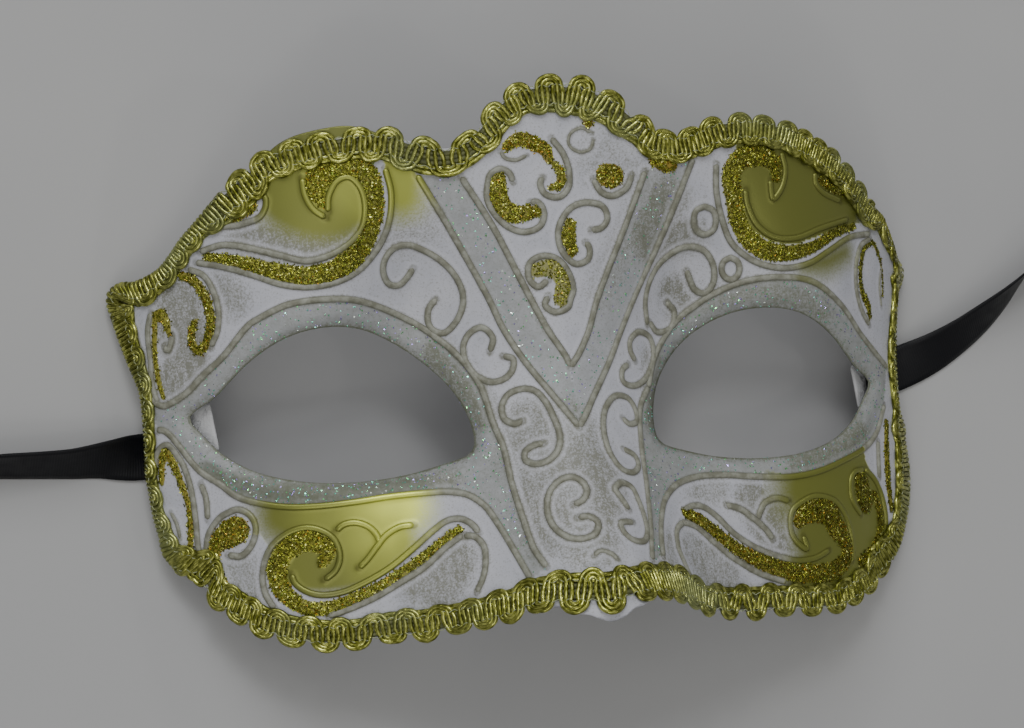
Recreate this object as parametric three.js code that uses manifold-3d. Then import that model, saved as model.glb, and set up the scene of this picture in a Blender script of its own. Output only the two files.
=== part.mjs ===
// A moulded half mask with two eye openings, edged with gold braid and tied with two ribbons.
// Units are millimetres. The mask is shaped in its own frame, with the bridge of the nose at
// the origin, +X to one temple, +Y to the forehead and +Z out of the face. It is then leaned
// and lifted so that it lies face up on the ground at z = 0.
import * as THREE from 'three';
import * as BufferGeometryUtils from 'three/addons/utils/BufferGeometryUtils.js';
import Module from 'manifold-3d';

const wasm = await Module();
wasm.setup();

const { clamp, degToRad, lerp, smoothstep } = THREE.MathUtils;

// Shell: wall, fall of the surface round the head, hollows at the inner eye corners, nose
const WALL = 1.2;
const TEMPLE_X = 86;
const TEMPLE_DROP_SOFT = 8.4;
const TEMPLE_DROP_SHARP = 21.8;
const HOLLOW = { depth: 11, x: 31, y: 19.7, halfWidth: 16, halfHeight: 23.7 };
const NOSE = { rise: 7.1, slope: 0.504, curl: 0.00226, top: 60, halfWidth: 14.8, spread: 0.309 };
const NOSE_HALF_WIDTH_RANGE = [5, 25];
const NOSE_FADE = 1;
const BRIDGE_OFFSET = 7.1;
const NOSE_TIP = { start: -36.3, end: -40.6, drop: 9, halfWidth: 10, roundness: 0.96 };

// Half of the outline, from the middle of the crown round to the tip of the nose
const HALF_OUTLINE = [
  [0, 73.0], [7, 71.8], [13, 68.4], [17.5, 63.9], [21.5, 60.9], [26, 60.4], [31, 61.9],
  [37, 63.8], [45, 64.4], [54, 62.9], [62, 59.6], [69, 54.5], [76, 47.4], [83, 40.2],
  [88.3, 35.2], [90.6, 31.6], [89.9, 27.2], [87.8, 18], [86.0, 9], [85.3, 1], [85.4, -8],
  [85.8, -16], [84.8, -23], [82.2, -29], [78, -34.6], [71.5, -39.4], [63, -42.6], [53, -44.0],
  [43, -43.6], [34, -42.2], [26, -39.9], [18.5, -37.5], [12, -36.7], [6.5, -38.9], [0, -40.6],
];
const OUTLINE_STEPS = 124;

// One eye opening, from its outer corner over the top and back below
const EYE = [
  [77.3, 4.9], [73.5, 9.3], [66, 17.2], [58.5, 22.0], [50, 23.9], [41, 23.2], [32.5, 19.5],
  [25.5, 13.7], [21.2, 7.5], [19.2, 0.5], [19.6, -4.4], [27, -6.9], [36, -8.8], [47, -9.6],
  [57.5, -8.9], [66.5, -6.4], [72.7, -2.4], [75.9, 1.4],
];
const EYE_STEPS = 40;

// Sheet that the outline and the eyes are cut from
const SHEET = { step: 4.8, halfWidth: 96, low: -50, high: 80, depth: 10, cutter: 90 };

// Braid: flat gimp glued over the edge, folded round it at the temples
const BRAID = { width: 9.5, thick: 1.4, bendShare: 0.55, frontSteps: 2, foldSteps: 5 };
const GAP = 0.4;
const FRONT = { full: 8.2, corner: 5.5, side: 3.0, noseExtra: 3.4, noseHalfWidth: 9 };
const CORNER_X = [60, 76];
const WING_X = [80, 88];
const WING_Y = 31;
const CHEEK_Y = [-34, -18];
const FOLD = { none: 8.0, whole: 3.4 };

// Seat on the ground
const LEAN = degToRad(7.25);
const LIFT = 41.76;
const SHIFT_Y = -15.36;

// Fixing patches inside the temples
const PATCH = { width: 10.5, thick: 0.6, depth: 3.9, corner: 1.5, cornerSteps: 3 };
const PATCHES = {
  left: { x: -75.7, y: 2.2, length: 10, turn: degToRad(8) },
  right: { x: 77.5, y: 5.0, length: 8, turn: degToRad(12) },
};

// Ribbons: flat ties that run out under the temples and are rolled up on edge beyond them.
// A route point is x, y, z and how far the ribbon leans over, in degrees.
const RIBBON = { width: 10, thick: 0.5, steps: 36 };
const LEFT_ROUTE = [
  [-74.4, -9.0, 14.0, -5], [-76.5, -9.9, 11.9, -5], [-77.9, -10.4, 10.2, -5],
  [-78.8, -10.8, 7.8, -4], [-79.4, -11.0, 5.4, -3], [-80.4, -11.5, 2.8, -2],
  [-83.2, -12.6, 0.9, 0], [-87.0, -13.0, 1.2, 8], [-91.0, -13.2, 2.4, 22],
  [-95.0, -13.4, 3.5, 37], [-101.6, -13.9, 4.3, 50], [-108.0, -13.9, 4.6, 55],
  [-117.0, -13.7, 4.8, 60], [-127.0, -13.6, 5.1, 75], [-138.0, -13.6, 5.3, 88],
  [-150.0, -13.6, 5.3, 90], [-160.0, -13.6, 5.3, 90],
];
const RIGHT_ROUTE = [
  [74.4, -7.0, 14.3, 17], [76.6, -6.3, 12.4, 17], [78.3, -5.7, 10.5, 16], [79.2, -5.4, 8.2, 12],
  [79.7, -5.2, 5.6, 8], [80.6, -4.9, 3.1, 4], [83.2, -4.1, 1.4, 0], [86.5, -3.2, 1.0, 2],
  [90.5, -2.0, 1.3, 8], [97.8, 0.7, 2.5, 25], [104.5, 4.1, 3.5, 38], [110.8, 8.1, 4.1, 48],
  [117.3, 13.0, 4.8, 63], [122.6, 17.8, 5.2, 76], [129.0, 23.7, 5.3, 86],
  [136.0, 30.1, 5.3, 90], [142.0, 35.6, 5.3, 90],
];
const COIL = { inner: 21.5, outer: 32.6, low: 0.2, high: 10.5, sides: 28 };
const COIL_CENTRES = { left: [-160.0, 19.6], right: [164.5, 11.1] };

// Closeness at which mesh corners count as one, and the fineness of a curve's length table
const MERGE_DISTANCE = 1e-4;
const CURVE_DIVISIONS = 20;

const plastic = new THREE.MeshStandardMaterial({ color: 0xd8d9dc, roughness: 0.45 });
const gimp = new THREE.MeshStandardMaterial({ color: 0x9c9436, roughness: 0.35, metalness: 0.8 });
const felt = new THREE.MeshStandardMaterial({ color: 0xe6e6e4, roughness: 0.9 });
const satin = new THREE.MeshStandardMaterial({ color: 0x101012, roughness: 0.4 });

// How far the nose stands out at the height y, fading smoothly to nothing on the forehead
function noseHeight(y) {
  const low = Math.min(y, NOSE.top);
  const rise = NOSE.rise - NOSE.slope * low + NOSE.curl * low * low;
  return (rise + Math.sqrt(rise * rise + 4 * NOSE_FADE)) / 2;
}

// The underside of the nose tip, where the face turns away in a quarter round
function tipDrop(x, y) {
  const under = clamp((NOSE_TIP.start - y) / (NOSE_TIP.start - NOSE_TIP.end), 0, 1);
  const round = 1 - Math.sqrt(1 - NOSE_TIP.roundness * under * under);
  return NOSE_TIP.drop * round * Math.exp(-((x / NOSE_TIP.halfWidth) ** 2));
}

// Height of the outer face of the shell
function face(x, y) {
  const side = Math.abs(x) / TEMPLE_X;
  const wrap = TEMPLE_DROP_SOFT * side ** 2 + TEMPLE_DROP_SHARP * side ** 4;
  const across = (Math.abs(x) - HOLLOW.x) / HOLLOW.halfWidth;
  const along = (y - HOLLOW.y) / HOLLOW.halfHeight;
  const hollow = HOLLOW.depth * Math.exp(-across * across - along * along);
  const width = clamp(NOSE.halfWidth - NOSE.spread * y, ...NOSE_HALF_WIDTH_RANGE);
  const nose = noseHeight(y) * Math.exp(-((x / width) ** 2));
  return nose - BRIDGE_OFFSET - wrap - hollow - tipDrop(x, y);
}

function facePoint(x, y) {
  return new THREE.Vector3(x, y, face(x, y));
}

function faceNormal(x, y) {
  const reach = 0.2;
  const slopeX = (face(x + reach, y) - face(x - reach, y)) / (2 * reach);
  const slopeY = (face(x, y + reach) - face(x, y - reach)) / (2 * reach);
  return new THREE.Vector3(-slopeX, -slopeY, 1).normalize();
}

// Closed smooth outline through hand-set points, as evenly spaced points
function closedLoop(points, steps) {
  const knots = points.map(([x, y]) => new THREE.Vector3(x, y, 0));
  const curve = new THREE.CatmullRomCurve3(knots, true, 'centripetal');
  curve.arcLengthDivisions = CURVE_DIVISIONS * steps;
  return curve.getSpacedPoints(steps).slice(0, steps);
}

function wholeOutline() {
  const mirrored = HALF_OUTLINE.slice(1, -1).reverse().map(([x, y]) => [-x, y]);
  return closedLoop([...HALF_OUTLINE, ...mirrored], OUTLINE_STEPS);
}

// Solids in and out of the joining library
function toSolid(geometry) {
  const bare = geometry.clone();
  bare.deleteAttribute('normal');
  bare.deleteAttribute('uv');
  const merged = BufferGeometryUtils.mergeVertices(bare, MERGE_DISTANCE);
  return new wasm.Manifold(new wasm.Mesh({
    numProp: 3,
    vertProperties: Float32Array.from(merged.attributes.position.array),
    triVerts: Uint32Array.from(merged.index.array),
  }));
}

function toGeometry(positions, indices) {
  const geometry = new THREE.BufferGeometry();
  geometry.setAttribute('position', new THREE.Float32BufferAttribute(positions, 3));
  geometry.setIndex(indices);
  geometry.computeVertexNormals();
  return geometry;
}

// A curved sheet with a flat grid above and below and walls round it
function sheetGeometry() {
  const columns = Math.round(2 * SHEET.halfWidth / SHEET.step);
  const rows = Math.round((SHEET.high - SHEET.low) / SHEET.step);
  const positions = [];
  for (const drop of [0, SHEET.depth]) {
    for (let row = 0; row <= rows; row += 1) {
      for (let column = 0; column <= columns; column += 1) {
        const x = lerp(-SHEET.halfWidth, SHEET.halfWidth, column / columns);
        const y = lerp(SHEET.low, SHEET.high, row / rows);
        positions.push(x, y, face(x, y) - drop);
      }
    }
  }
  const perRow = columns + 1;
  const below = perRow * (rows + 1);
  const at = (row, column) => row * perRow + column;
  const indices = [];
  for (let row = 0; row < rows; row += 1) {
    for (let column = 0; column < columns; column += 1) {
      const [a, b] = [at(row, column), at(row, column + 1)];
      const [c, d] = [at(row + 1, column + 1), at(row + 1, column)];
      indices.push(a, b, c, a, c, d);
      indices.push(below + a, below + c, below + b, below + a, below + d, below + c);
    }
  }
  const rim = [];
  for (let column = 0; column < columns; column += 1) rim.push(at(0, column));
  for (let row = 0; row < rows; row += 1) rim.push(at(row, columns));
  for (let column = columns; column > 0; column -= 1) rim.push(at(rows, column));
  for (let row = rows; row > 0; row -= 1) rim.push(at(row, 0));
  rim.forEach((a, i) => {
    const b = rim[(i + 1) % rim.length];
    indices.push(a, below + a, below + b, a, below + b, b);
  });
  return toGeometry(positions, indices);
}

function cutter(loop) {
  const shape = new THREE.Shape(loop.map((p) => new THREE.Vector2(p.x, p.y)));
  const prism = new THREE.ExtrudeGeometry(shape, { depth: 2 * SHEET.cutter, bevelEnabled: false });
  prism.translate(0, 0, -SHEET.cutter);
  return toSolid(prism);
}

// The shell: the sheet is cut to its outline and eyes, then each lower point is brought up to
// lie one wall behind the face, along the face's own normal
function shellGeometry(outline, eyes) {
  let solid = toSolid(sheetGeometry()).intersect(cutter(outline));
  for (const eye of eyes) solid = solid.subtract(cutter(eye));
  const mesh = solid.getMesh();
  const positions = [];
  for (let i = 0; i < mesh.vertProperties.length; i += 3) {
    const [x, y, z] = mesh.vertProperties.slice(i, i + 3);
    const behind = z < face(x, y) - SHEET.depth / 2 ? WALL : 0;
    const point = facePoint(x, y).addScaledVector(faceNormal(x, y), -behind);
    positions.push(point.x, point.y, point.z);
  }
  return toGeometry(positions, Array.from(mesh.triVerts));
}

// Width of braid that shows in front of the edge
function frontWidth(x, y) {
  const side = Math.abs(x);
  if (y > WING_Y) {
    const top = lerp(FRONT.full, FRONT.corner, smoothstep(side, ...CORNER_X));
    return lerp(top, FRONT.side, smoothstep(side, ...WING_X));
  }
  const low = lerp(FRONT.full, FRONT.side, smoothstep(y, ...CHEEK_Y));
  return low + FRONT.noseExtra * Math.exp(-((x / FRONT.noseHalfWidth) ** 2));
}

// Edge frames: point, outward direction in the face, and normal
function edgeFrames(outline) {
  return outline.map((point, i) => {
    const before = outline[(i + outline.length - 1) % outline.length];
    const after = outline[(i + 1) % outline.length];
    const tangent = facePoint(after.x, after.y).sub(facePoint(before.x, before.y)).normalize();
    const normal = faceNormal(point.x, point.y);
    const outward = normal.clone().cross(tangent).normalize();
    return { x: point.x, y: point.y, outward, normal };
  });
}

// Distances across the braid, from its inner edge to its outer edge, measured from the shell's edge
function braidStations(front) {
  const outer = BRAID.width - front;
  const bend = Math.min(0, BRAID.width * BRAID.bendShare - front);
  const stations = [];
  for (let i = 0; i < BRAID.frontSteps; i += 1) {
    stations.push(lerp(-front, bend, i / BRAID.frontSteps));
  }
  for (let i = 0; i <= BRAID.foldSteps; i += 1) {
    stations.push(lerp(bend, outer, i / BRAID.foldSteps));
  }
  return stations;
}

// A point of the braid's middle layer and the way it faces
function braidPoint(frame, distance, fold) {
  const radius = WALL / 2 + GAP + BRAID.thick / 2;
  if (distance <= 0) {
    const x = frame.x + distance * frame.outward.x;
    const y = frame.y + distance * frame.outward.y;
    const facing = faceNormal(x, y);
    return { place: facePoint(x, y).addScaledVector(facing, radius - WALL / 2), facing };
  }
  const angle = Math.min(distance / radius, fold);
  const beyond = distance - angle * radius;
  const facing = frame.normal.clone().multiplyScalar(Math.cos(angle));
  facing.addScaledVector(frame.outward, Math.sin(angle));
  const onward = frame.outward.clone().multiplyScalar(Math.cos(angle));
  onward.addScaledVector(frame.normal, -Math.sin(angle));
  const place = facePoint(frame.x, frame.y).addScaledVector(frame.normal, -WALL / 2);
  place.addScaledVector(facing, radius).addScaledVector(onward, beyond);
  return { place, facing };
}

function braidGeometry(outline) {
  const positions = [];
  for (const frame of edgeFrames(outline)) {
    const front = frontWidth(frame.x, frame.y);
    const fold = Math.PI * clamp((FOLD.none - front) / (FOLD.none - FOLD.whole), 0, 1);
    const layer = braidStations(front).map((distance) => braidPoint(frame, distance, fold));
    const section = [];
    for (const { place, facing } of layer) {
      section.push(place.clone().addScaledVector(facing, BRAID.thick / 2));
    }
    for (const { place, facing } of layer.reverse()) {
      section.push(place.clone().addScaledVector(facing, -BRAID.thick / 2));
    }
    for (const point of section) positions.push(point.x, point.y, point.z);
  }
  return ringGeometry(positions, outline.length);
}

// Skin over closed sections that follow each other round a ring
function ringGeometry(positions, sections) {
  const perSection = positions.length / 3 / sections;
  const indices = [];
  for (let i = 0; i < sections; i += 1) {
    const next = (i + 1) % sections;
    for (let j = 0; j < perSection; j += 1) {
      const k = (j + 1) % perSection;
      const [a, b] = [i * perSection + j, i * perSection + k];
      const [c, d] = [next * perSection + k, next * perSection + j];
      indices.push(a, c, b, a, d, c);
    }
  }
  return toGeometry(positions, indices);
}

// A flat patch with rounded corners, lying behind the shell at a temple
function patchMesh(name, { x, y, length, turn }) {
  const [l, w, r] = [length / 2, PATCH.width / 2, PATCH.corner];
  const shape = new THREE.Shape();
  shape.absarc(l - r, w - r, r, 0, Math.PI / 2);
  shape.absarc(r - l, w - r, r, Math.PI / 2, Math.PI);
  shape.absarc(r - l, r - w, r, Math.PI, 1.5 * Math.PI);
  shape.absarc(l - r, r - w, r, 1.5 * Math.PI, 2 * Math.PI);
  const settings = { depth: PATCH.thick, bevelEnabled: false, curveSegments: PATCH.cornerSteps };
  const mesh = new THREE.Mesh(new THREE.ExtrudeGeometry(shape, settings), felt);
  const normal = faceNormal(x, y);
  const along = new THREE.Vector3(Math.cos(turn), Math.sin(turn), 0);
  along.addScaledVector(normal, -along.dot(normal)).normalize();
  const across = normal.clone().cross(along);
  mesh.quaternion.setFromRotationMatrix(new THREE.Matrix4().makeBasis(along, across, normal));
  mesh.position.copy(facePoint(x, y)).addScaledVector(normal, -PATCH.depth - PATCH.thick / 2);
  mesh.name = name;
  return mesh;
}

// A flat strip along a route, turned about its own line by each point's lean
function ribbonGeometry(route, leanSide) {
  const line = new THREE.CatmullRomCurve3(route.map(([x, y, z]) => new THREE.Vector3(x, y, z)));
  const leans = new THREE.CatmullRomCurve3(route.map((knot) => new THREE.Vector3(knot[3], 0, 0)));
  const up = new THREE.Vector3(0, 0, 1);
  const positions = [];
  for (let i = 0; i <= RIBBON.steps; i += 1) {
    const t = i / RIBBON.steps;
    const centre = line.getPoint(t);
    const ahead = line.getTangent(t);
    const across = up.clone().cross(ahead).normalize();
    const turn = leanSide * degToRad(leans.getPoint(t).x);
    across.applyAxisAngle(ahead, turn);
    const out = ahead.clone().cross(across).normalize();
    for (const [a, b] of [[-1, -1], [1, -1], [1, 1], [-1, 1]]) {
      const corner = centre.clone().addScaledVector(across, a * RIBBON.width / 2);
      corner.addScaledVector(out, b * RIBBON.thick / 2);
      positions.push(corner.x, corner.y, corner.z);
    }
  }
  return stripGeometry(positions, RIBBON.steps + 1);
}

// Skin and two end caps over four-cornered sections that follow each other along a line. Both wide
// faces are split along the same diagonal, so that a twisted stretch keeps its thickness.
function stripGeometry(positions, sections) {
  const indices = [];
  for (let i = 0; i + 1 < sections; i += 1) {
    for (let j = 0; j < 4; j += 1) {
      const k = (j + 1) % 4;
      const [a, b] = [4 * i + j, 4 * i + k];
      const [c, d] = [b + 4, a + 4];
      if (j === 0) indices.push(a, b, c, a, c, d);
      else indices.push(a, b, d, b, c, d);
    }
  }
  const last = 4 * (sections - 1);
  indices.push(0, 2, 1, 0, 3, 2);
  indices.push(last, last + 1, last + 2, last, last + 2, last + 3);
  return toGeometry(positions, indices);
}

function ribbonMesh(name, route, leanSide) {
  const mesh = new THREE.Mesh(ribbonGeometry(route, leanSide), satin);
  mesh.name = name;
  return mesh;
}

function coilMesh(name, [x, y]) {
  const profile = [
    new THREE.Vector2(COIL.inner, COIL.low), new THREE.Vector2(COIL.outer, COIL.low),
    new THREE.Vector2(COIL.outer, COIL.high), new THREE.Vector2(COIL.inner, COIL.high),
    new THREE.Vector2(COIL.inner, COIL.low),
  ];
  const mesh = new THREE.Mesh(new THREE.LatheGeometry(profile, COIL.sides), satin);
  mesh.rotation.x = Math.PI / 2;
  mesh.position.set(x, y, 0);
  mesh.name = name;
  return mesh;
}

const outline = wholeOutline();
const eyes = [1, -1].map((side) => closedLoop(EYE.map(([x, y]) => [side * x, y]), EYE_STEPS));
const mask = new THREE.Group();
const shell = new THREE.Mesh(shellGeometry(outline, eyes), plastic);
shell.name = 'mask_shell';
const braid = new THREE.Mesh(braidGeometry(outline), gimp);
braid.name = 'gold_braid';
mask.add(shell, braid);
mask.add(patchMesh('left_fixing_patch', PATCHES.left));
mask.add(patchMesh('right_fixing_patch', PATCHES.right));
mask.rotation.x = LEAN;
mask.position.set(0, SHIFT_Y, LIFT);

const object = new THREE.Group();
object.add(mask);
object.add(ribbonMesh('left_ribbon', LEFT_ROUTE, -1), coilMesh('left_ribbon_coil', COIL_CENTRES.left));
object.add(ribbonMesh('right_ribbon', RIGHT_ROUTE, 1));
object.add(coilMesh('right_ribbon_coil', COIL_CENTRES.right));

export default object;
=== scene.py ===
# A moulded half mask with raised scrollwork, glitter, braid edging and two satin ties, lying face up.
# Sizes are in millimetres until a mesh is made. The mask is shaped in its own frame: the bridge of
# the nose at the origin, +X to one temple, +Y to the forehead, +Z out of the face.
import math
import bpy
import numpy as np
from mathutils import Matrix, Vector


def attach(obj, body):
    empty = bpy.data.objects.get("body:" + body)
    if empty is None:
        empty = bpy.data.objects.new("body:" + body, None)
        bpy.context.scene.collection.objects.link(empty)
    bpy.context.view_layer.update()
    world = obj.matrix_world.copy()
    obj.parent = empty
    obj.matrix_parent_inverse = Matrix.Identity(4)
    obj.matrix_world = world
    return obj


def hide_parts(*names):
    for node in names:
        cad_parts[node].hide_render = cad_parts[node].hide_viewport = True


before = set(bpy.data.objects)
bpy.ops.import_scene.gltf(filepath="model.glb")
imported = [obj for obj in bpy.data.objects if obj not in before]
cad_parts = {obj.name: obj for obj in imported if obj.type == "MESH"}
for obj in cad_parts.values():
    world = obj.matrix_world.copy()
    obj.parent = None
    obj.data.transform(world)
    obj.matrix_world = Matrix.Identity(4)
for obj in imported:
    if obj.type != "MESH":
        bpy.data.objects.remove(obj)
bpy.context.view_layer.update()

MM = 0.001
PICTURE_WIDTH = 1024
PICTURE_CENTRE = (512, 364)
SEED = 20

# Seat of the mask on the ground
LEAN = math.radians(7.25)
LIFT = 41.76
SHIFT_Y = -15.36

# Camera in the mask's own frame, with its focal length in pixels of the picture
EYE_PLACE = (-159.19, 16.29, 555.17)
YAW = math.radians(14.677)
PITCH = math.radians(0.269)
ROLL = math.radians(2.743)
FOCAL = 2751.3
SENSOR = 36
SIGHT = {"below": 20, "rounds": 50, "damping": 0.6}

# Shell: wall, fall of the surface round the head, hollows at the inner eye corners, nose
WALL = 1.2
TEMPLE_X = 86
TEMPLE_DROP_SOFT = 8.4
TEMPLE_DROP_SHARP = 21.8
HOLLOW = {"depth": 11, "x": 31, "y": 19.7, "half_width": 16, "half_height": 23.7}
NOSE = {"rise": 7.1, "slope": 0.504, "curl": 0.00226, "top": 60, "half_width": 14.8, "spread": 0.309}
NOSE_HALF_WIDTHS = (5, 25)
BRIDGE_OFFSET = 7.1
NOSE_TIP = {"start": -36.3, "end": -40.6, "drop": 9, "half_width": 10, "roundness": 0.96}
FLARE = {"rise": 1.4, "x": (74, 88), "low": (-42, -30), "high": (-12, 0)}
WING_RISE = 1.8

# Half of the outline, from the middle of the crown round to the tip of the nose
HALF_OUTLINE = [
    (0, 73.0), (7, 71.8), (13, 68.4), (17.5, 63.9), (21.5, 60.9), (26, 60.4), (31, 61.9),
    (37, 63.8), (45, 64.4), (54, 62.9), (62, 59.6), (69, 54.5), (76, 47.4), (83, 40.2),
    (88.3, 35.2), (90.6, 31.6), (89.9, 27.2), (87.8, 18), (86.0, 9), (85.3, 1), (85.4, -8),
    (85.8, -16), (84.8, -23), (82.2, -29), (78, -34.6), (71.5, -39.4), (63, -42.6), (53, -44.0),
    (43, -43.6), (34, -42.2), (26, -39.9), (18.5, -37.5), (12, -36.7), (6.5, -38.9), (0, -40.6),
]

# Heights that the left temple's corner lies between, and its points, trimmed further in
CORNER_SPAN = (30, 50)
LEFT_CORNER = [
    (-90.9, 31.2), (-89.6, 33.4), (-86.2, 34.6), (-82.8, 36.4), (-80.1, 40.2), (-76.6, 45.6),
]

# Tip of the nose: half its width, the height it lies below, its edge, and the braid's way over it
NOSE_SPAN = 8
NOSE_BELOW = -30
NOSE_EDGE = [
    (7.6, -36.3), (4.2, -36.9), (1.8, -38.5), (-0.8, -39.4), (-3.2, -38.8), (-5.4, -37.8),
    (-8.5, -37.2),
]
BRAID_NOSE = [(6.5, -36.4), (0, -36.6), (-6.5, -36.4)]

# Where the left brow stands higher
BROW_RISE = {"x": -50, "above": 50, "half_width": 11, "rise": 2.6}

# One eye opening, from its outer corner over the top and back below
EYE = [
    (78.4, 5.3), (73.5, 9.3), (66, 16.8), (58.5, 21.3), (50, 23.1), (41.2, 22.3), (33.3, 18.6),
    (26.8, 12.9), (22.7, 7.1), (20.7, 0.6), (21.3, -4.0), (28, -6.7), (36.5, -8.7), (47, -9.6),
    (57.5, -8.9), (66.5, -6.4), (72.7, -2.4), (75.9, 1.4),
]

# Fineness of the shell's sheets and lines, and the roll of the face into the eye openings
FRONT_STEP = 0.47
BACK_STEP = 1.9
LOOP_STEP = 0.9
LOOP_REACH = 4.0
SAME_LOOP = 2.0
SPLINE_STEPS = 16
SNAP = 0.3
LIP = {"drop": 1.5, "reach": 3.2}

# Ribbons: each tie's real length, and its route on the ground: x, y, z and lean in degrees
RIBBON = {"length": 450, "width": 10, "thick": 0.32, "step": 1.2, "across": 8}
SELVEDGE = {"rise": 0.5, "place": (0.84, 0.95)}
LEFT_ROUTE = [
    (-74.4, -9.0, 14.0, -5), (-76.5, -9.9, 11.9, -5), (-77.9, -10.4, 10.2, -5),
    (-78.8, -10.8, 7.8, -4), (-79.4, -11.0, 5.4, -3), (-80.4, -11.5, 2.8, -2),
    (-83.2, -12.6, 0.9, 0), (-87.0, -13.0, 1.3, 10), (-91.0, -13.2, 2.7, 28),
    (-95.0, -13.4, 3.8, 45), (-101.6, -13.9, 4.4, 57), (-108.0, -13.9, 4.7, 62),
    (-117.0, -13.7, 4.9, 66), (-127.0, -13.6, 5.1, 75), (-138.0, -13.6, 5.3, 88),
    (-150.0, -13.6, 5.3, 90), (-160.0, -13.6, 5.3, 90),
]
RIGHT_ROUTE = [
    (74.4, -7.0, 14.3, 17), (76.6, -6.3, 12.4, 17), (78.3, -5.7, 10.5, 16), (79.2, -5.4, 8.2, 12),
    (79.7, -5.2, 5.6, 8), (80.6, -4.9, 3.1, 4), (83.2, -4.1, 1.4, 0), (86.5, -3.2, 1.0, 2),
    (90.5, -2.0, 1.3, 8), (97.8, 0.7, 2.5, 25), (104.5, 4.1, 3.5, 38), (110.8, 8.1, 4.1, 48),
    (117.3, 13.0, 4.8, 63), (122.6, 17.8, 5.2, 76), (129.0, 23.7, 5.3, 86),
    (136.0, 30.1, 5.3, 90), (142.0, 35.6, 5.3, 90),
]
COIL_CENTRES = {"left": (-160.0, 19.6), "right": (164.5, 11.1)}
COIL_PITCH = 4.4
RIBBON_START = {"left": 3.2, "right": 4.8}

# Felt patches behind the outer corners of the eyes: middle, length, height, thickness and turn
PATCHES = {
    "left": {"x": -78.1, "y": 2.4, "length": 8.4, "width": 10.4, "turn": math.radians(8)},
    "right": {"x": 80.0, "y": 5.2, "length": 7.6, "width": 10.4, "turn": math.radians(12)},
}
PATCH = {"depth": 4.1, "thick": 0.9, "squareness": 14, "sides": 96, "fuzz": 0.03, "rings": 14}

# Braid: three serpentine cords side by side, straight threads below, a stitching thread at each side
BRAID = {"width": 9.5, "loop": 6.0, "offset": 0.95, "radius": 0.52, "step": 0.42, "sides": 8}
BRAID_SQUEEZE = 0.85
BRAID_UNEVEN = (0.16, 0.03, 0.07)
CORE = {"places": (-3.4, -2.3, -1.15, 0.0, 1.15), "golden": 2, "step": 0.6, "lift": 0.28, "radius": 0.6}
STITCH = {
    "step": 0.3, "gap": 0.2, "radius": 0.09, "hop": 0.5, "sink": 0.02, "sway": 0.3, "wave": 2.4,
    "inset": 0.25,
}
THREAD_SIDES = 6
BRAID_LIFT = 0.7
LOOP_RADIUS = (1.4, 1.78)
FAR_APART = 7.2
OVERHANG = 2.0

# How much of the braid lies on the face, from where to where that changes, and when it folds round
FRONT = {"full": 8.2, "corner": 5.5, "side": 3.0, "left_wing": 5.8}
CORNER_X = (60, 76)
WING_X = (80, 88)
WING_Y = (26, 31)
CHEEK_Y = (-34, -18)
FLAT_FRONT = 7.5
FOLD = {"none": 7.8, "whole": 3.4}

# Pixels that the folded braid stands out past the shell's edge, and the rows where that changes
EDGE_BULGE = {"left_top": 8.3, "side": 4.3, "shoulder": 2.0, "low": -1.0}
BULGE_ROWS = {"left_top": 300, "shoulder": 270, "low": 545}

# Limits of what is read from the loops, and the edge's step, and reach and spread of its smoothing
SHARES = (0.76, 1.1)
KNOWN_FRONT = (3.0, 7.5)
SIDE_FRONT = (0.8, 7.0)
SHIFTS = (-6.0, 4.0)
EDGE_STEP = 0.25
SMOOTHING = {"outward": (40, 3.2), "shift": (48, 3.0)}
OUTLINE_EVERY = 8

# Pixels of the loops on the braid's outer side, anticlockwise, where they show
LOOPS = [
    [(897, 262), (893, 241), (888, 221), (878.7, 205.5), (868, 187), (854, 168.7), (837, 152),
     (822, 141), (806, 131), (788, 121), (763.6, 115), (737.5, 112.7), (705.3, 117.3), (684, 128),
     (650.4, 119), (618.5, 93.6), (585, 76), (547, 74.5), (511, 84), (484, 108), (459.7, 135.5),
     (427.4, 135.5), (390, 126.7), (357, 127.4), (318.9, 132.6), (289.6, 140), (257.3, 153),
     (234, 174.5), (210.5, 200), (190.7, 222.7), (176, 241), (165.3, 257), (151, 272), (130, 281)],
    [(161, 536.5), (169, 552.5), (182.6, 568), (197, 583), (213.7, 608), (236, 622), (261, 637.6),
     (290.7, 647), (325, 651.8), (359.4, 650.6), (393.8, 643.5), (429.3, 642.3), (462.5, 635),
     (489.8, 630), (516, 624), (542, 614), (575, 615), (612, 616), (648, 602), (679, 606),
     (701.6, 617), (724, 620.5), (753, 620), (782, 616), (811, 616), (840, 613), (861, 602.6),
     (880, 589), (892, 571)],
]

# Pixels of the loops on its inner side
INNER_LOOPS = [
    (868, 227), (858.7, 208.6), (846.4, 188.7), (832.6, 176.4), (811, 162.6), (788, 150.3), (765, 144),
    (737.5, 142.6), (703.8, 159.5), (660, 159.2), (632.8, 146.4), (594.4, 124), (564, 120.8),
    (528.8, 116), (501.6, 135.2), (477.6, 159.2), (445, 181), (408.4, 173.6), (370.2, 160.4),
    (336.5, 159), (304.3, 166.3), (280.8, 178), (209, 240), (192, 261), (180, 280), (168, 293),
    (157.3, 304), (229, 586.6), (252.8, 599.7), (280, 609), (308.5, 616), (340.5, 618.6),
    (377.2, 615), (411.6, 608), (446, 603), (475.5, 597), (500.4, 590), (524, 580.7), (549.5, 569.6),
    (585.7, 569.6), (624.8, 563.8), (653.7, 558), (706.8, 587), (737.6, 583), (768.4, 583),
    (799, 587), (828, 586), (852, 581),
]

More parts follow.
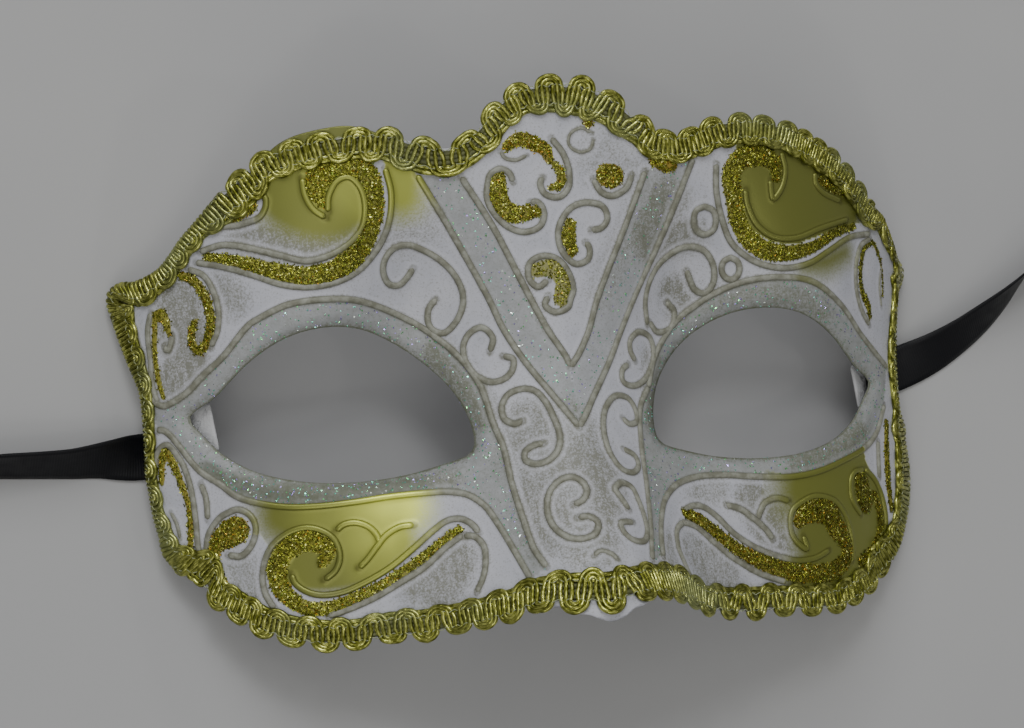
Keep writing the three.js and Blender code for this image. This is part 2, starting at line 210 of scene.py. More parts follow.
# Columns of the braid's outer and inner border at the temples, and their row
SIDE_MARKS = [
    (104, 133, 293), (107, 138, 305), (111.5, 141.5, 316), (117.5, 142.5, 335), (128.5, 149.5, 363),
    (140.5, 156.4, 391), (144.0, 157.8, 418), (145.7, 158.3, 446), (146.5, 159.7, 474),
    (151.2, 165, 502), (158, 174.8, 529), (893.5, 878, 258), (904, 881, 274), (903, 883, 284),
    (897.5, 884, 294), (896.2, 882.5, 313), (896.2, 882, 334), (896.5, 884, 360),
    (897.9, 889, 389), (900, 891.5, 410), (909.5, 893, 427), (906, 893.3, 441), (908.6, 893.3, 464),
    (910.4, 893, 483), (911.4, 891, 503), (909, 886.5, 525),
]

# Floor, light of the room, and lamps that all aim at the origin: place, size, power and colour
FLOOR_HALF = 3.0
ROOM = {"colour": (0.81, 0.81, 0.80), "strength": 0.29}
LIGHTS = {
    "window": ((-0.5, 1.4, 1.35), 1.0, 9.8, (0.97, 0.985, 1.0)),
    "key": ((-0.2, 0.72, 1.3), 0.35, 3.5, (0.98, 0.99, 1.0)),
    "room": ((-0.6, -1.0, 1.45), 1.0, 4.7, (1.0, 0.99, 0.95)),
    "ceiling": ((-0.25, 0.1, 1.9), 1.5, 5.2, (1.0, 0.995, 0.98)),
}
LAMPS = [(-1.0, 0.7, 0.95), (0.9, 0.9, 1.0), (-0.55, -0.95, 1.1), (0.8, -0.6, 1.25)]
LAMP = (0.1, 0.8, (1.0, 0.98, 0.93))

# Glitter: flakes to a square millimetre, radius, tilt, lift, depth of a flake in radii, and colours
GLITTER = {"per_area": 15.0, "size": (0.22, 0.36), "tilt": 0.26, "lift": (0.02, 0.2)}
GOLD_BRIGHTNESS = (0.75, 1.2)
FLAKE_DEPTH = 0.3
GOLD_TINTS = [
    (0.145, 0.148, 0.02), (0.24, 0.25, 0.03), (0.39, 0.41, 0.05), (0.85, 0.88, 0.28),
    (0.40, 0.22, 0.02), (0.20, 0.28, 0.035),
]

# How often each colour comes up in plain gold, and how much more often in amber glitter
GOLD_ODDS = [0.20, 0.44, 0.23, 0.07, 0.01, 0.04]
AMBER_ODDS = [0.02, 0.05, 0.0, 0.0, 0.16, 0.0]

# Frosty glitter, and how far off a pad it starts
FROST = {"per_area": 1.2, "size": (0.16, 0.32), "tilt": 0.24, "lift": (0.01, 0.07), "pad_gap": 0.3}
FROST_TINTS = [
    (0.8, 0.9, 0.85), (0.25, 0.9, 0.65), (0.25, 0.85, 0.3), (0.5, 0.4, 0.95), (0.3, 0.85, 0.5),
    (0.35, 0.9, 0.8),
]


# The mask's form
def nose_height(y):
    low = np.minimum(y, NOSE["top"])
    rise = NOSE["rise"] - NOSE["slope"] * low + NOSE["curl"] * low * low
    return (rise + np.sqrt(rise * rise + 4)) / 2


def tip_drop(x, y):
    under = np.clip((NOSE_TIP["start"] - y) / (NOSE_TIP["start"] - NOSE_TIP["end"]), 0, 1)
    turned = 1 - np.sqrt(1 - NOSE_TIP["roundness"] * under * under)
    return NOSE_TIP["drop"] * turned * np.exp(-((x / NOSE_TIP["half_width"]) ** 2))


def face(x, y):
    """Height of the outer face of the shell"""
    side = np.abs(x) / TEMPLE_X
    wrap = TEMPLE_DROP_SOFT * side**2 + TEMPLE_DROP_SHARP * side**4
    across = (np.abs(x) - HOLLOW["x"]) / HOLLOW["half_width"]
    along = (y - HOLLOW["y"]) / HOLLOW["half_height"]
    hollow = HOLLOW["depth"] * np.exp(-across * across - along * along)
    width = np.clip(NOSE["half_width"] - NOSE["spread"] * y, *NOSE_HALF_WIDTHS)
    nose = nose_height(y) * np.exp(-((x / width) ** 2))
    flare = smoothstep(x, *FLARE["x"]) * smoothstep(y, *FLARE["low"]) * (1 - smoothstep(y, *FLARE["high"]))
    wing = WING_RISE * smoothstep(np.abs(x), *FLARE["x"])
    return nose - BRIDGE_OFFSET - wrap - hollow - tip_drop(x, y) + FLARE["rise"] * flare + wing


def face_points(flat):
    return np.column_stack([flat[:, 0], flat[:, 1], face(flat[:, 0], flat[:, 1])])


def face_normals(flat):
    x, y, reach = flat[:, 0], flat[:, 1], 0.2
    slope_x = (face(x + reach, y) - face(x - reach, y)) / (2 * reach)
    slope_y = (face(x, y + reach) - face(x, y - reach)) / (2 * reach)
    return unit(np.column_stack([-slope_x, -slope_y, np.ones(len(x))]))


def unit(vectors):
    return vectors / np.linalg.norm(vectors, axis=-1, keepdims=True)


def smoothstep(value, low, high):
    share = np.clip((value - low) / (high - low), 0, 1)
    return share * share * (3 - 2 * share)


def spline(points, closed=False):
    """Centripetal curve through points. Extra columns after the first two follow along."""
    p = np.asarray(points, float)
    if closed:
        p = np.vstack([p[-1], p, p[0], p[1]])
    else:
        p = np.vstack([2 * p[0] - p[1], p, 2 * p[-1] - p[-2]])
    gaps = np.maximum(np.linalg.norm(np.diff(p[:, :3], axis=0), axis=1) ** 0.5, 1e-4)
    out = []
    for i in range(1, len(p) - 2):
        a, b, c = gaps[i - 1], gaps[i], gaps[i + 1]
        start = b * ((p[i] - p[i - 1]) / a - (p[i + 1] - p[i - 1]) / (a + b) + (p[i + 1] - p[i]) / b)
        end = b * ((p[i + 1] - p[i]) / b - (p[i + 2] - p[i]) / (b + c) + (p[i + 2] - p[i + 1]) / c)
        t = np.linspace(0, 1, SPLINE_STEPS, endpoint=False)[:, None]
        out.append(
            (2 * t**3 - 3 * t**2 + 1) * p[i] + (t**3 - 2 * t**2 + t) * start
            + (3 * t**2 - 2 * t**3) * p[i + 1] + (t**3 - t**2) * end
        )
    if not closed:
        out.append(p[-2:-1])
    return np.vstack(out)


def even(line, step, closed=False, columns=3):
    """The same line with points a step apart, measured on its first columns"""
    whole = np.vstack([line, line[:1]]) if closed else line
    lengths = np.linalg.norm(np.diff(whole[:, :columns], axis=0), axis=1)
    along = np.concatenate([[0], np.cumsum(lengths)])
    count = max(2, round(along[-1] / step))
    places = np.linspace(0, along[-1], count + 1)[:count if closed else None]
    return np.column_stack([np.interp(places, along, whole[:, k]) for k in range(whole.shape[1])])


def outline_points():
    """The outline's points, clockwise seen from the front, from the middle of the crown"""
    left = [(-x, y) for x, y in HALF_OUTLINE[-2:0:-1]]
    below = [point for point in left if point[1] < CORNER_SPAN[0]]
    above = [point for point in left if point[1] > CORNER_SPAN[1]]
    return HALF_OUTLINE + below + LEFT_CORNER + above


def with_nose(points, nose):
    """The outline with other points over the tip of the nose"""
    places = [i for i, (x, y) in enumerate(points) if y < NOSE_BELOW and abs(x) < NOSE_SPAN]
    return points[:places[0]] + nose + points[places[-1] + 1:]


def flat_loop(points, step):
    """A closed curve through points of the plane, with its points a step apart"""
    return even(spline(points, closed=True), step, closed=True, columns=2)


def braid_loop():
    """The line that the braid follows: the outline, but straight over the tip of the nose"""
    return flat_loop(with_nose(outline_points(), BRAID_NOSE), EDGE_STEP)


def eye_loop(side):
    return flat_loop([(side * x, y) for x, y in EYE], LOOP_STEP)


def on_plane(flat):
    """The same points with no height"""
    return np.column_stack([flat[:, :2], np.zeros(len(flat))])


# From the mask's frame to the ground, and meshes
SEAT = Matrix.Translation((0, SHIFT_Y, LIFT)) @ Matrix.Rotation(LEAN, 4, "X")


def seated(points):
    matrix = np.array(SEAT)
    return points @ matrix[:3, :3].T + matrix[:3, 3]


def make_piece(name, points, faces, material, smooth=True):
    """A mesh in metres from points on the ground frame in millimetres, riding on the root"""
    faces = np.asarray(faces, dtype=np.int32)
    mesh = bpy.data.meshes.new(name)
    mesh.vertices.add(len(points))
    mesh.vertices.foreach_set("co", (np.asarray(points) * MM).astype(np.float32).ravel())
    mesh.loops.add(faces.size)
    mesh.loops.foreach_set("vertex_index", faces.ravel())
    mesh.polygons.add(len(faces))
    mesh.polygons.foreach_set("loop_start", np.arange(0, faces.size, faces.shape[1], dtype=np.int32))
    mesh.polygons.foreach_set("use_smooth", np.full(len(faces), smooth))
    mesh.update(calc_edges=True)
    mesh.validate()
    mesh.materials.append(material)
    piece = bpy.data.objects.new(name, mesh)
    bpy.context.scene.collection.objects.link(piece)
    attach(piece, "root")
    return piece


def paint(piece, name, values):
    layer = piece.data.attributes.new(name, "FLOAT", "POINT")
    layer.data.foreach_set("value", np.asarray(values, dtype=np.float32))


def lay_map(piece, name, flat):
    """A map for the material, with a place in it for each point of the mesh"""
    layer = piece.data.uv_layers.new(name=name)
    corners = np.empty(len(piece.data.loops), dtype=np.int32)
    piece.data.loops.foreach_get("vertex_index", corners)
    layer.data.foreach_set("uv", flat[corners].astype(np.float32).ravel())


def skin(rings, sides, closed=False):
    """Four-sided faces over rings of points that follow each other, and fans of triangles on the ends"""
    ring = np.arange(rings if closed else rings - 1)[:, None]
    after = (ring + 1) % rings
    side = np.arange(sides)[None, :]
    beside = (side + 1) % sides
    corners = [ring * sides + side, ring * sides + beside, after * sides + beside, after * sides + side]
    a, b, c, d = (corner.ravel() for corner in corners)
    triangles = np.vstack([np.column_stack([a, b, c]), np.column_stack([a, c, d])])
    if closed:
        return triangles
    middle = np.arange(1, sides - 1)
    first = np.column_stack([np.zeros_like(middle), middle + 1, middle])
    last = (rings - 1) * sides + np.column_stack([np.zeros_like(middle), middle, middle + 1])
    return np.vstack([triangles, first, last])


# Materials
def fill(tree, node, inputs):
    """Sets a node's inputs, each to a number, a colour or what another node gives"""
    for name, value in inputs.items():
        socket = node.inputs[name]
        if isinstance(value, bpy.types.NodeSocket):
            tree.links.new(value, socket)
        else:
            socket.default_value = (*value, 1) if socket.type == "RGBA" else value


def add_node(tree, kind, output, inputs, **settings):
    """A node with its settings and inputs, and what it gives"""
    node = tree.nodes.new(f"ShaderNode{kind}")
    for name, value in settings.items():
        setattr(node, name, value)
    fill(tree, node, inputs)
    return node.outputs[output]


def new_material(name, colour, roughness, metallic=0.0):
    material = bpy.data.materials.new(name)
    material.use_nodes = True
    tree = material.node_tree
    shader = tree.nodes["Principled BSDF"]
    fill(tree, shader, {"Base Color": colour, "Roughness": roughness, "Metallic": metallic})
    return material, tree, shader


def noise(tree, scale, detail=2.0, roughness=0.5):
    place = add_node(tree, "TexCoord", "Object", {})
    inputs = {"Vector": place, "Scale": scale, "Detail": detail, "Roughness": roughness}
    return add_node(tree, "TexNoise", "Fac", inputs)


def attribute(tree, name, output="Fac"):
    return add_node(tree, "Attribute", output, {}, attribute_name=name)


def remap(tree, value, low, high, to_low=0.0, to_high=1.0):
    inputs = {"Value": value, "From Min": low, "From Max": high, "To Min": to_low, "To Max": to_high}
    return add_node(tree, "MapRange", "Result", inputs)


def combine(tree, kind, first, second, clamp=False):
    return add_node(tree, "Math", "Value", {0: first, 1: second}, operation=kind, use_clamp=clamp)


def blend_colour(tree, share, first, second):
    return add_node(tree, "Mix", "Result", {"Factor": share, "A": first, "B": second}, data_type="RGBA")


def bump(tree, height, strength, distance):
    inputs = {"Height": height, "Strength": strength, "Distance": distance}
    return add_node(tree, "Bump", "Normal", inputs)


# Camera
def view_axes():
    back = Vector((-math.sin(YAW) * math.cos(PITCH), math.sin(PITCH), math.cos(YAW) * math.cos(PITCH)))
    level = Vector((0, 1, 0)).cross(back).normalized()
    upright = back.cross(level)
    right = level * math.cos(ROLL) - upright * math.sin(ROLL)
    up = level * math.sin(ROLL) + upright * math.cos(ROLL)
    return right, up, back


def make_camera():
    right, up, back = view_axes()
    turn = Matrix((right, up, back)).transposed().to_4x4()
    world = SEAT @ Matrix.Translation(EYE_PLACE) @ turn
    world.translation *= MM
    data = bpy.data.cameras.new("camera")
    data.sensor_width = SENSOR
    data.lens = SENSOR * FOCAL / PICTURE_WIDTH
    camera = bpy.data.objects.new("camera", data)
    camera.matrix_world = world
    bpy.context.scene.collection.objects.link(camera)
    bpy.context.scene.camera = camera


def on_face(pixels):
    """Points of the face, in the mask's frame, that lie under pixels of the picture"""
    pixels = np.asarray(pixels, float)
    right, up, back = (np.array(axis) for axis in view_axes())
    away = (pixels[:, :1] - PICTURE_CENTRE[0]) / FOCAL * right
    away = away - (pixels[:, 1:2] - PICTURE_CENTRE[1]) / FOCAL * up - back
    reach = -(EYE_PLACE[2] + SIGHT["below"]) / away[:, 2]
    for _ in range(SIGHT["rounds"]):
        points = np.array(EYE_PLACE) + away * reach[:, None]
        above = face(points[:, 0], points[:, 1]) - points[:, 2]
        reach = reach + SIGHT["damping"] * above / away[:, 2]
    return np.array(EYE_PLACE) + away * reach[:, None]


def to_pixels(points):
    """Pixels of the picture where points in the mask's frame are seen"""
    right, up, back = (np.array(axis) for axis in view_axes())
    apart = points - np.array(EYE_PLACE)
    depth = -apart @ back
    across = PICTURE_CENTRE[0] + FOCAL * (apart @ right) / depth
    down = PICTURE_CENTRE[1] - FOCAL * (apart @ up) / depth
    return np.column_stack([across, down])


make_camera()


# Ribbons, the two free cords
def satin_material():
    material, tree, shader = new_material("black_satin", (0.006, 0.006, 0.008), 0.5)
    place = add_node(tree, "UVMap", "UV", {}, uv_map="weave")
    inputs = {"Vector": place, "Scale": 0.55, "Distortion": 0.4}
    ribs = add_node(tree, "TexWave", "Fac", inputs, bands_direction="X")
    tone = remap(tree, ribs, 0.0, 1.0)
    fill(tree, shader, {
        "Base Color": blend_colour(tree, tone, (0.0012, 0.0013, 0.0024), (0.004, 0.0042, 0.0068)),
        "Roughness": remap(tree, noise(tree, 300, 3), 0.3, 0.7, 0.42, 0.6),
        "Normal": bump(tree, ribs, 0.25, 0.0001),
        "Specular IOR Level": 0.28,
        "Sheen Weight": 0.05,
        "Sheen Roughness": 0.4,
    })
    return material


def coil_points(centre, start, length):
    """Points round a coil that winds clockwise and inward from start until its length is used up"""
    away = np.array(start[:2]) - np.array(centre)
    radius, angle = np.linalg.norm(away), math.atan2(away[1], away[0])
    points, used = [], 0.0
    while used < length:
        step = min(RIBBON["step"], length - used)
        used += step
        angle -= step / radius
        radius -= COIL_PITCH * step / radius / (2 * math.pi)
        x, y = centre[0] + radius * math.cos(angle), centre[1] + radius * math.sin(angle)
        points.append((x, y, start[2], 90))
        if length - used < 1e-6:
            break
    return points


def ribbon_path(route, centre, start):
    free = even(spline(route), RIBBON["step"] / 4)[round(4 * start / RIBBON["step"])::4]
    free[-1] = route[-1]
    used = np.linalg.norm(np.diff(free[:, :3], axis=0), axis=1).sum()
    coil = np.array(coil_points(centre, route[-1], RIBBON["length"] - used))
    return np.vstack([free, coil])


def make_ribbon(name, route, side, material):
    path = ribbon_path(route, COIL_CENTRES[name], RIBBON_START[name])
    places = path[:, :3]
    ahead = unit(np.gradient(places, axis=0))
    level = unit(np.cross([0, 0, 1], ahead))
    lean = side * np.radians(path[:, 3])[:, None]
    lifted = np.cross(ahead, level)
    across = level * np.cos(lean) + lifted * np.sin(lean)
    out = unit(np.cross(ahead, across))
    shares = np.linspace(-1, 1, RIBBON["across"] + 1)
    selvedge = 1 + SELVEDGE["rise"] * smoothstep(np.abs(shares), *SELVEDGE["place"])
    front = [(share, edge) for share, edge in zip(shares, selvedge)]
    ring = front + [(share, -edge) for share, edge in front[::-1]]
    points = np.stack([
        places + across * share * RIBBON["width"] / 2 + out * edge * RIBBON["thick"] / 2
        for share, edge in ring
    ], axis=1)
    sides = len(ring)
    faces = skin(len(path), sides)
    piece = make_piece(f"{name}_satin_ribbon", points.reshape(-1, 3), faces, material)
    length = np.arange(len(path)) * RIBBON["step"]
    beside = [share * RIBBON["width"] / 2 for share, _ in ring]
    lay_map(piece, "weave", np.stack([np.repeat(length, sides), np.tile(beside, len(path))], axis=1))
    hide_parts(f"{name}_ribbon", f"{name}_ribbon_coil")


satin = satin_material()
make_ribbon("left", LEFT_ROUTE, -1, satin)
make_ribbon("right", RIGHT_ROUTE, 1, satin)


# Felt patches that hold the ribbons
def felt_material():
    material, tree, shader = new_material("white_felt", (0.7, 0.7, 0.68), 0.95)
    fibre = noise(tree, 1800, 4, 0.75)
    cloud = remap(tree, noise(tree, 250, 3), 0.35, 0.65)
    colour = blend_colour(tree, cloud, (0.52, 0.525, 0.53), (0.60, 0.605, 0.62))
    dark = remap(tree, fibre, 0.5, 0.75, 0.0, 0.2)
    fill(tree, shader, {
        "Base Color": blend_colour(tree, dark, colour, (0.38, 0.38, 0.35)),
        "Normal": bump(tree, fibre, 0.7, 0.0003),
        "Sheen Weight": 0.2,
    })
    return material


def make_patch(name, material):
    spot = PATCHES[name]
    flat = np.array([[spot["x"], spot["y"]]])
    normal = face_normals(flat)[0]
    middle = face_points(flat)[0] - normal * PATCH["depth"]
    along = np.array([math.cos(spot["turn"]), math.sin(spot["turn"]), 0])
    along = unit(along - along @ normal * normal)
    across = np.cross(normal, along)
    turn = 2 * math.pi * np.arange(PATCH["sides"]) / PATCH["sides"]
    power = 2 / PATCH["squareness"]
    u = np.sign(np.cos(turn)) * np.abs(np.cos(turn)) ** power * spot["length"] / 2
    v = np.sign(np.sin(turn)) * np.abs(np.sin(turn)) ** power * spot["width"] / 2
    shares = np.concatenate([np.linspace(0.03, 0.93, PATCH["rings"]), [0.975, 1.0]])
    heights = PATCH["thick"] / 2 * np.sqrt(1 - shares**10)
    shares, heights = np.append(shares, shares[-2::-1]), np.append(heights, -heights[-2::-1])
    chance = np.random.default_rng(SEED + 3)
    fuzz = chance.normal(0, PATCH["fuzz"], (len(shares), PATCH["sides"], 3))
    points = shares[:, None, None] * (u[:, None] * along + v[:, None] * across)
    points = middle + points + heights[:, None, None] * normal + fuzz
    points = seated(points.reshape(-1, 3))
    faces = skin(len(shares), PATCH["sides"])[:, ::-1]
    piece = make_piece(f"{name}_felt_patch", points, faces, material)
    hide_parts(f"{name}_fixing_patch")


felt = felt_material()
make_patch("left", felt)
make_patch("right", felt)


# Floor and light
def make_floor():
    material, tree, shader = new_material("pale_paper", (0.42, 0.42, 0.43), 0.9)
    cloud = remap(tree, noise(tree, 9, 3), 0.3, 0.7)
    fill(tree, shader, {"Base Color": blend_colour(tree, cloud, (0.40, 0.402, 0.41), (0.44, 0.44, 0.44))})
    mesh = bpy.data.meshes.new("floor")
    corners = [(x * FLOOR_HALF, y * FLOOR_HALF, 0) for x, y in ((-1, -1), (1, -1), (1, 1), (-1, 1))]
    mesh.from_pydata(corners, [], [(0, 1, 2, 3)])
    mesh.materials.append(material)
    floor = bpy.data.objects.new("floor", mesh)
    bpy.context.scene.collection.objects.link(floor)


def make_light(name, place, size, power, colour):
    data = bpy.data.lights.new(name, "AREA")
    data.size, data.energy, data.color = size, power, colour
    light = bpy.data.objects.new(name, data)
    light.location = place
    light.rotation_mode = "QUATERNION"
    light.rotation_quaternion = (-Vector(place)).to_track_quat("-Z", "Y")
    bpy.context.scene.collection.objects.link(light)


def make_lights():
    world = bpy.data.worlds.new("room")
    world.use_nodes = True
    background = world.node_tree.nodes["Background"]
    fill(world.node_tree, background, {"Color": ROOM["colour"], "Strength": ROOM["strength"]})
    bpy.context.scene.world = world
    for name, light in LIGHTS.items():
        make_light(name, *light)
    for number, place in enumerate(LAMPS):
        make_light(f"lamp_{number}", place, *LAMP)


make_floor()
make_lights()


# The line that the braid follows, fitted on the loops of the picture
def smoothed(values, reach, spread):
    """Values round the edge, each averaged with its neighbours up to reach steps away"""
    weights = np.exp(-((np.arange(-reach, reach + 1) * EDGE_STEP / spread) ** 2) / 2)
    wrapped = np.concatenate([values[-reach:], values, values[:reach]])
    return np.convolve(wrapped, weights / weights.sum(), "valid")


def edge_frames():
    """Points round the edge with the way outward and up, and the length along the edge at each"""
    loop = braid_loop()
    points = face_points(loop)
    ahead = unit(np.roll(points, -1, axis=0) - np.roll(points, 1, axis=0))
    normals = face_normals(loop)
    outward = np.cross(normals, ahead)
    outward = unit(np.column_stack([smoothed(values, *SMOOTHING["outward"]) for values in outward.T]))
    outward = unit(outward - (outward * normals).sum(1, keepdims=True) * normals)
    rows = np.column_stack([points, normals, outward])
    rows = np.vstack([rows, rows[:1]])
    along = np.concatenate([[0], np.cumsum(np.linalg.norm(np.diff(rows[:, :3], axis=0), axis=1))])
    return along, rows


def front_width(x, y):
    """How much of the braid lies on the face there"""
    side = np.abs(x)
    corner = np.where(x < 0, FRONT["corner"], FRONT["full"])
    top = FRONT["full"] + (corner - FRONT["full"]) * smoothstep(side, *CORNER_X)
    wing = np.where(x < 0, FRONT["left_wing"], FRONT["side"])
    top = top + (wing - top) * smoothstep(side, *WING_X)
    low = FRONT["full"] + (FRONT["side"] - FRONT["full"]) * smoothstep(y, *CHEEK_Y)
    low = np.where(x < 0, low + (FRONT["left_wing"] - low) * smoothstep(y, *WING_Y), low)
    return np.where(y > WING_Y[1], top, low)


def measured(edge, pixels):
    """Lengths along the edge nearest to pixels, how far outside it they lie, and pixels to a millimetre"""
    along, rows = edge
    seen = to_pixels(rows[:, :3])
    outward = to_pixels(rows[:, :3] + rows[:, 6:9]) - seen
    pixels = np.asarray(pixels, float)
    nearest = np.linalg.norm(seen[None] - pixels[:, None], axis=2).argmin(1)
    apart = (pixels - seen[nearest]) * outward[nearest]
    square = (outward[nearest] ** 2).sum(1)
    return along[nearest], apart.sum(1) / square, np.sqrt(square)


def fold_share(front):
    """How far the braid folds round the edge, from not at all to onto the back"""
    return float(np.clip((FOLD["none"] - front) / (FOLD["none"] - FOLD["whole"]), 0, 1))


def edge_bulge(x, y):
    """How far, in pixels, the folded braid is seen to stand out past the shell's edge"""
    if y < BULGE_ROWS["left_top"] and x < PICTURE_CENTRE[0]:
        return EDGE_BULGE["left_top"]
    if y < BULGE_ROWS["shoulder"]:
        return EDGE_BULGE["shoulder"]
    return EDGE_BULGE["low"] if y > BULGE_ROWS["low"] else EDGE_BULGE["side"]


def braid_fit(edge):
    """Rows of length along the edge, shift outward, width on the front, share of the whole width and fold"""
    along, rows = edge
    around = along[-1]
    inner_s, inner, _ = measured(edge, INNER_LOOPS)
    order = np.argsort(inner_s)
    fits = []
    for pixel, s, reach, scale in zip(LOOPS[0] + LOOPS[1], *measured(edge, LOOPS[0] + LOOPS[1])):
        place = rows[np.searchsorted(along, s)]
        front = float(front_width(place[0], place[1]))
        inside = np.interp(s, inner_s[order], inner[order], period=around)
        known = np.abs((inner_s - s + around / 2) % around - around / 2).min() < BRAID["loop"]
        inside = inside if known else reach - BRAID["width"]
        if front > FLAT_FRONT:
            share = np.clip((reach - inside) / BRAID["width"], *SHARES)
            fits.append((s, reach - OVERHANG, share * BRAID["width"] - OVERHANG, share, 0.0))
        else:
            shift = reach - edge_bulge(*pixel) / scale
            front = np.clip(shift - inside, *KNOWN_FRONT) if known else front
            fits.append((s, shift, front, 1.0, fold_share(front)))
    outer = measured(edge, [(outer, y) for outer, _, y in SIDE_MARKS])
    insides = measured(edge, [(inner, y) for _, inner, y in SIDE_MARKS])[1]
    for (x, _, y), s, reach, scale, inside in zip(SIDE_MARKS, *outer, insides):
        shift = reach - edge_bulge(x, y) / scale
        front = np.clip(shift - inside, *SIDE_FRONT)
        fits.append((s, shift, front, 1.0, fold_share(front)))
    fits = np.array(sorted(fits))
    fits[:, 1] = fits[:, 1].clip(*SHIFTS)
    return fits


def outline_loop():
    """The shell's edge, just inside the braid's outer loops, with the tip of the nose below them"""
    along, rows = edge
    shift = np.interp(along[:-1], FITS[:, 0], FITS[:, 1], period=along[-1])
    shift = smoothed(shift, *SMOOTHING["shift"])
    away = ((rows[:-1, 0] - BROW_RISE["x"]) / BROW_RISE["half_width"]) ** 2
    shift += np.where(rows[:-1, 1] > BROW_RISE["above"], BROW_RISE["rise"] * np.exp(-away * away), 0)
    line = rows[:-1, :2] + shift[:, None] * rows[:-1, 6:8]
    tip = np.flatnonzero((line[:, 1] < NOSE_BELOW) & (np.abs(line[:, 0]) < NOSE_SPAN))
    start, end = line[:tip[0]:OUTLINE_EVERY], line[tip[-1] + OUTLINE_EVERY::OUTLINE_EVERY]
    line = np.vstack([start, NOSE_EDGE, end])
    return flat_loop(line, LOOP_STEP)


edge = edge_frames()
FITS = braid_fit(edge)


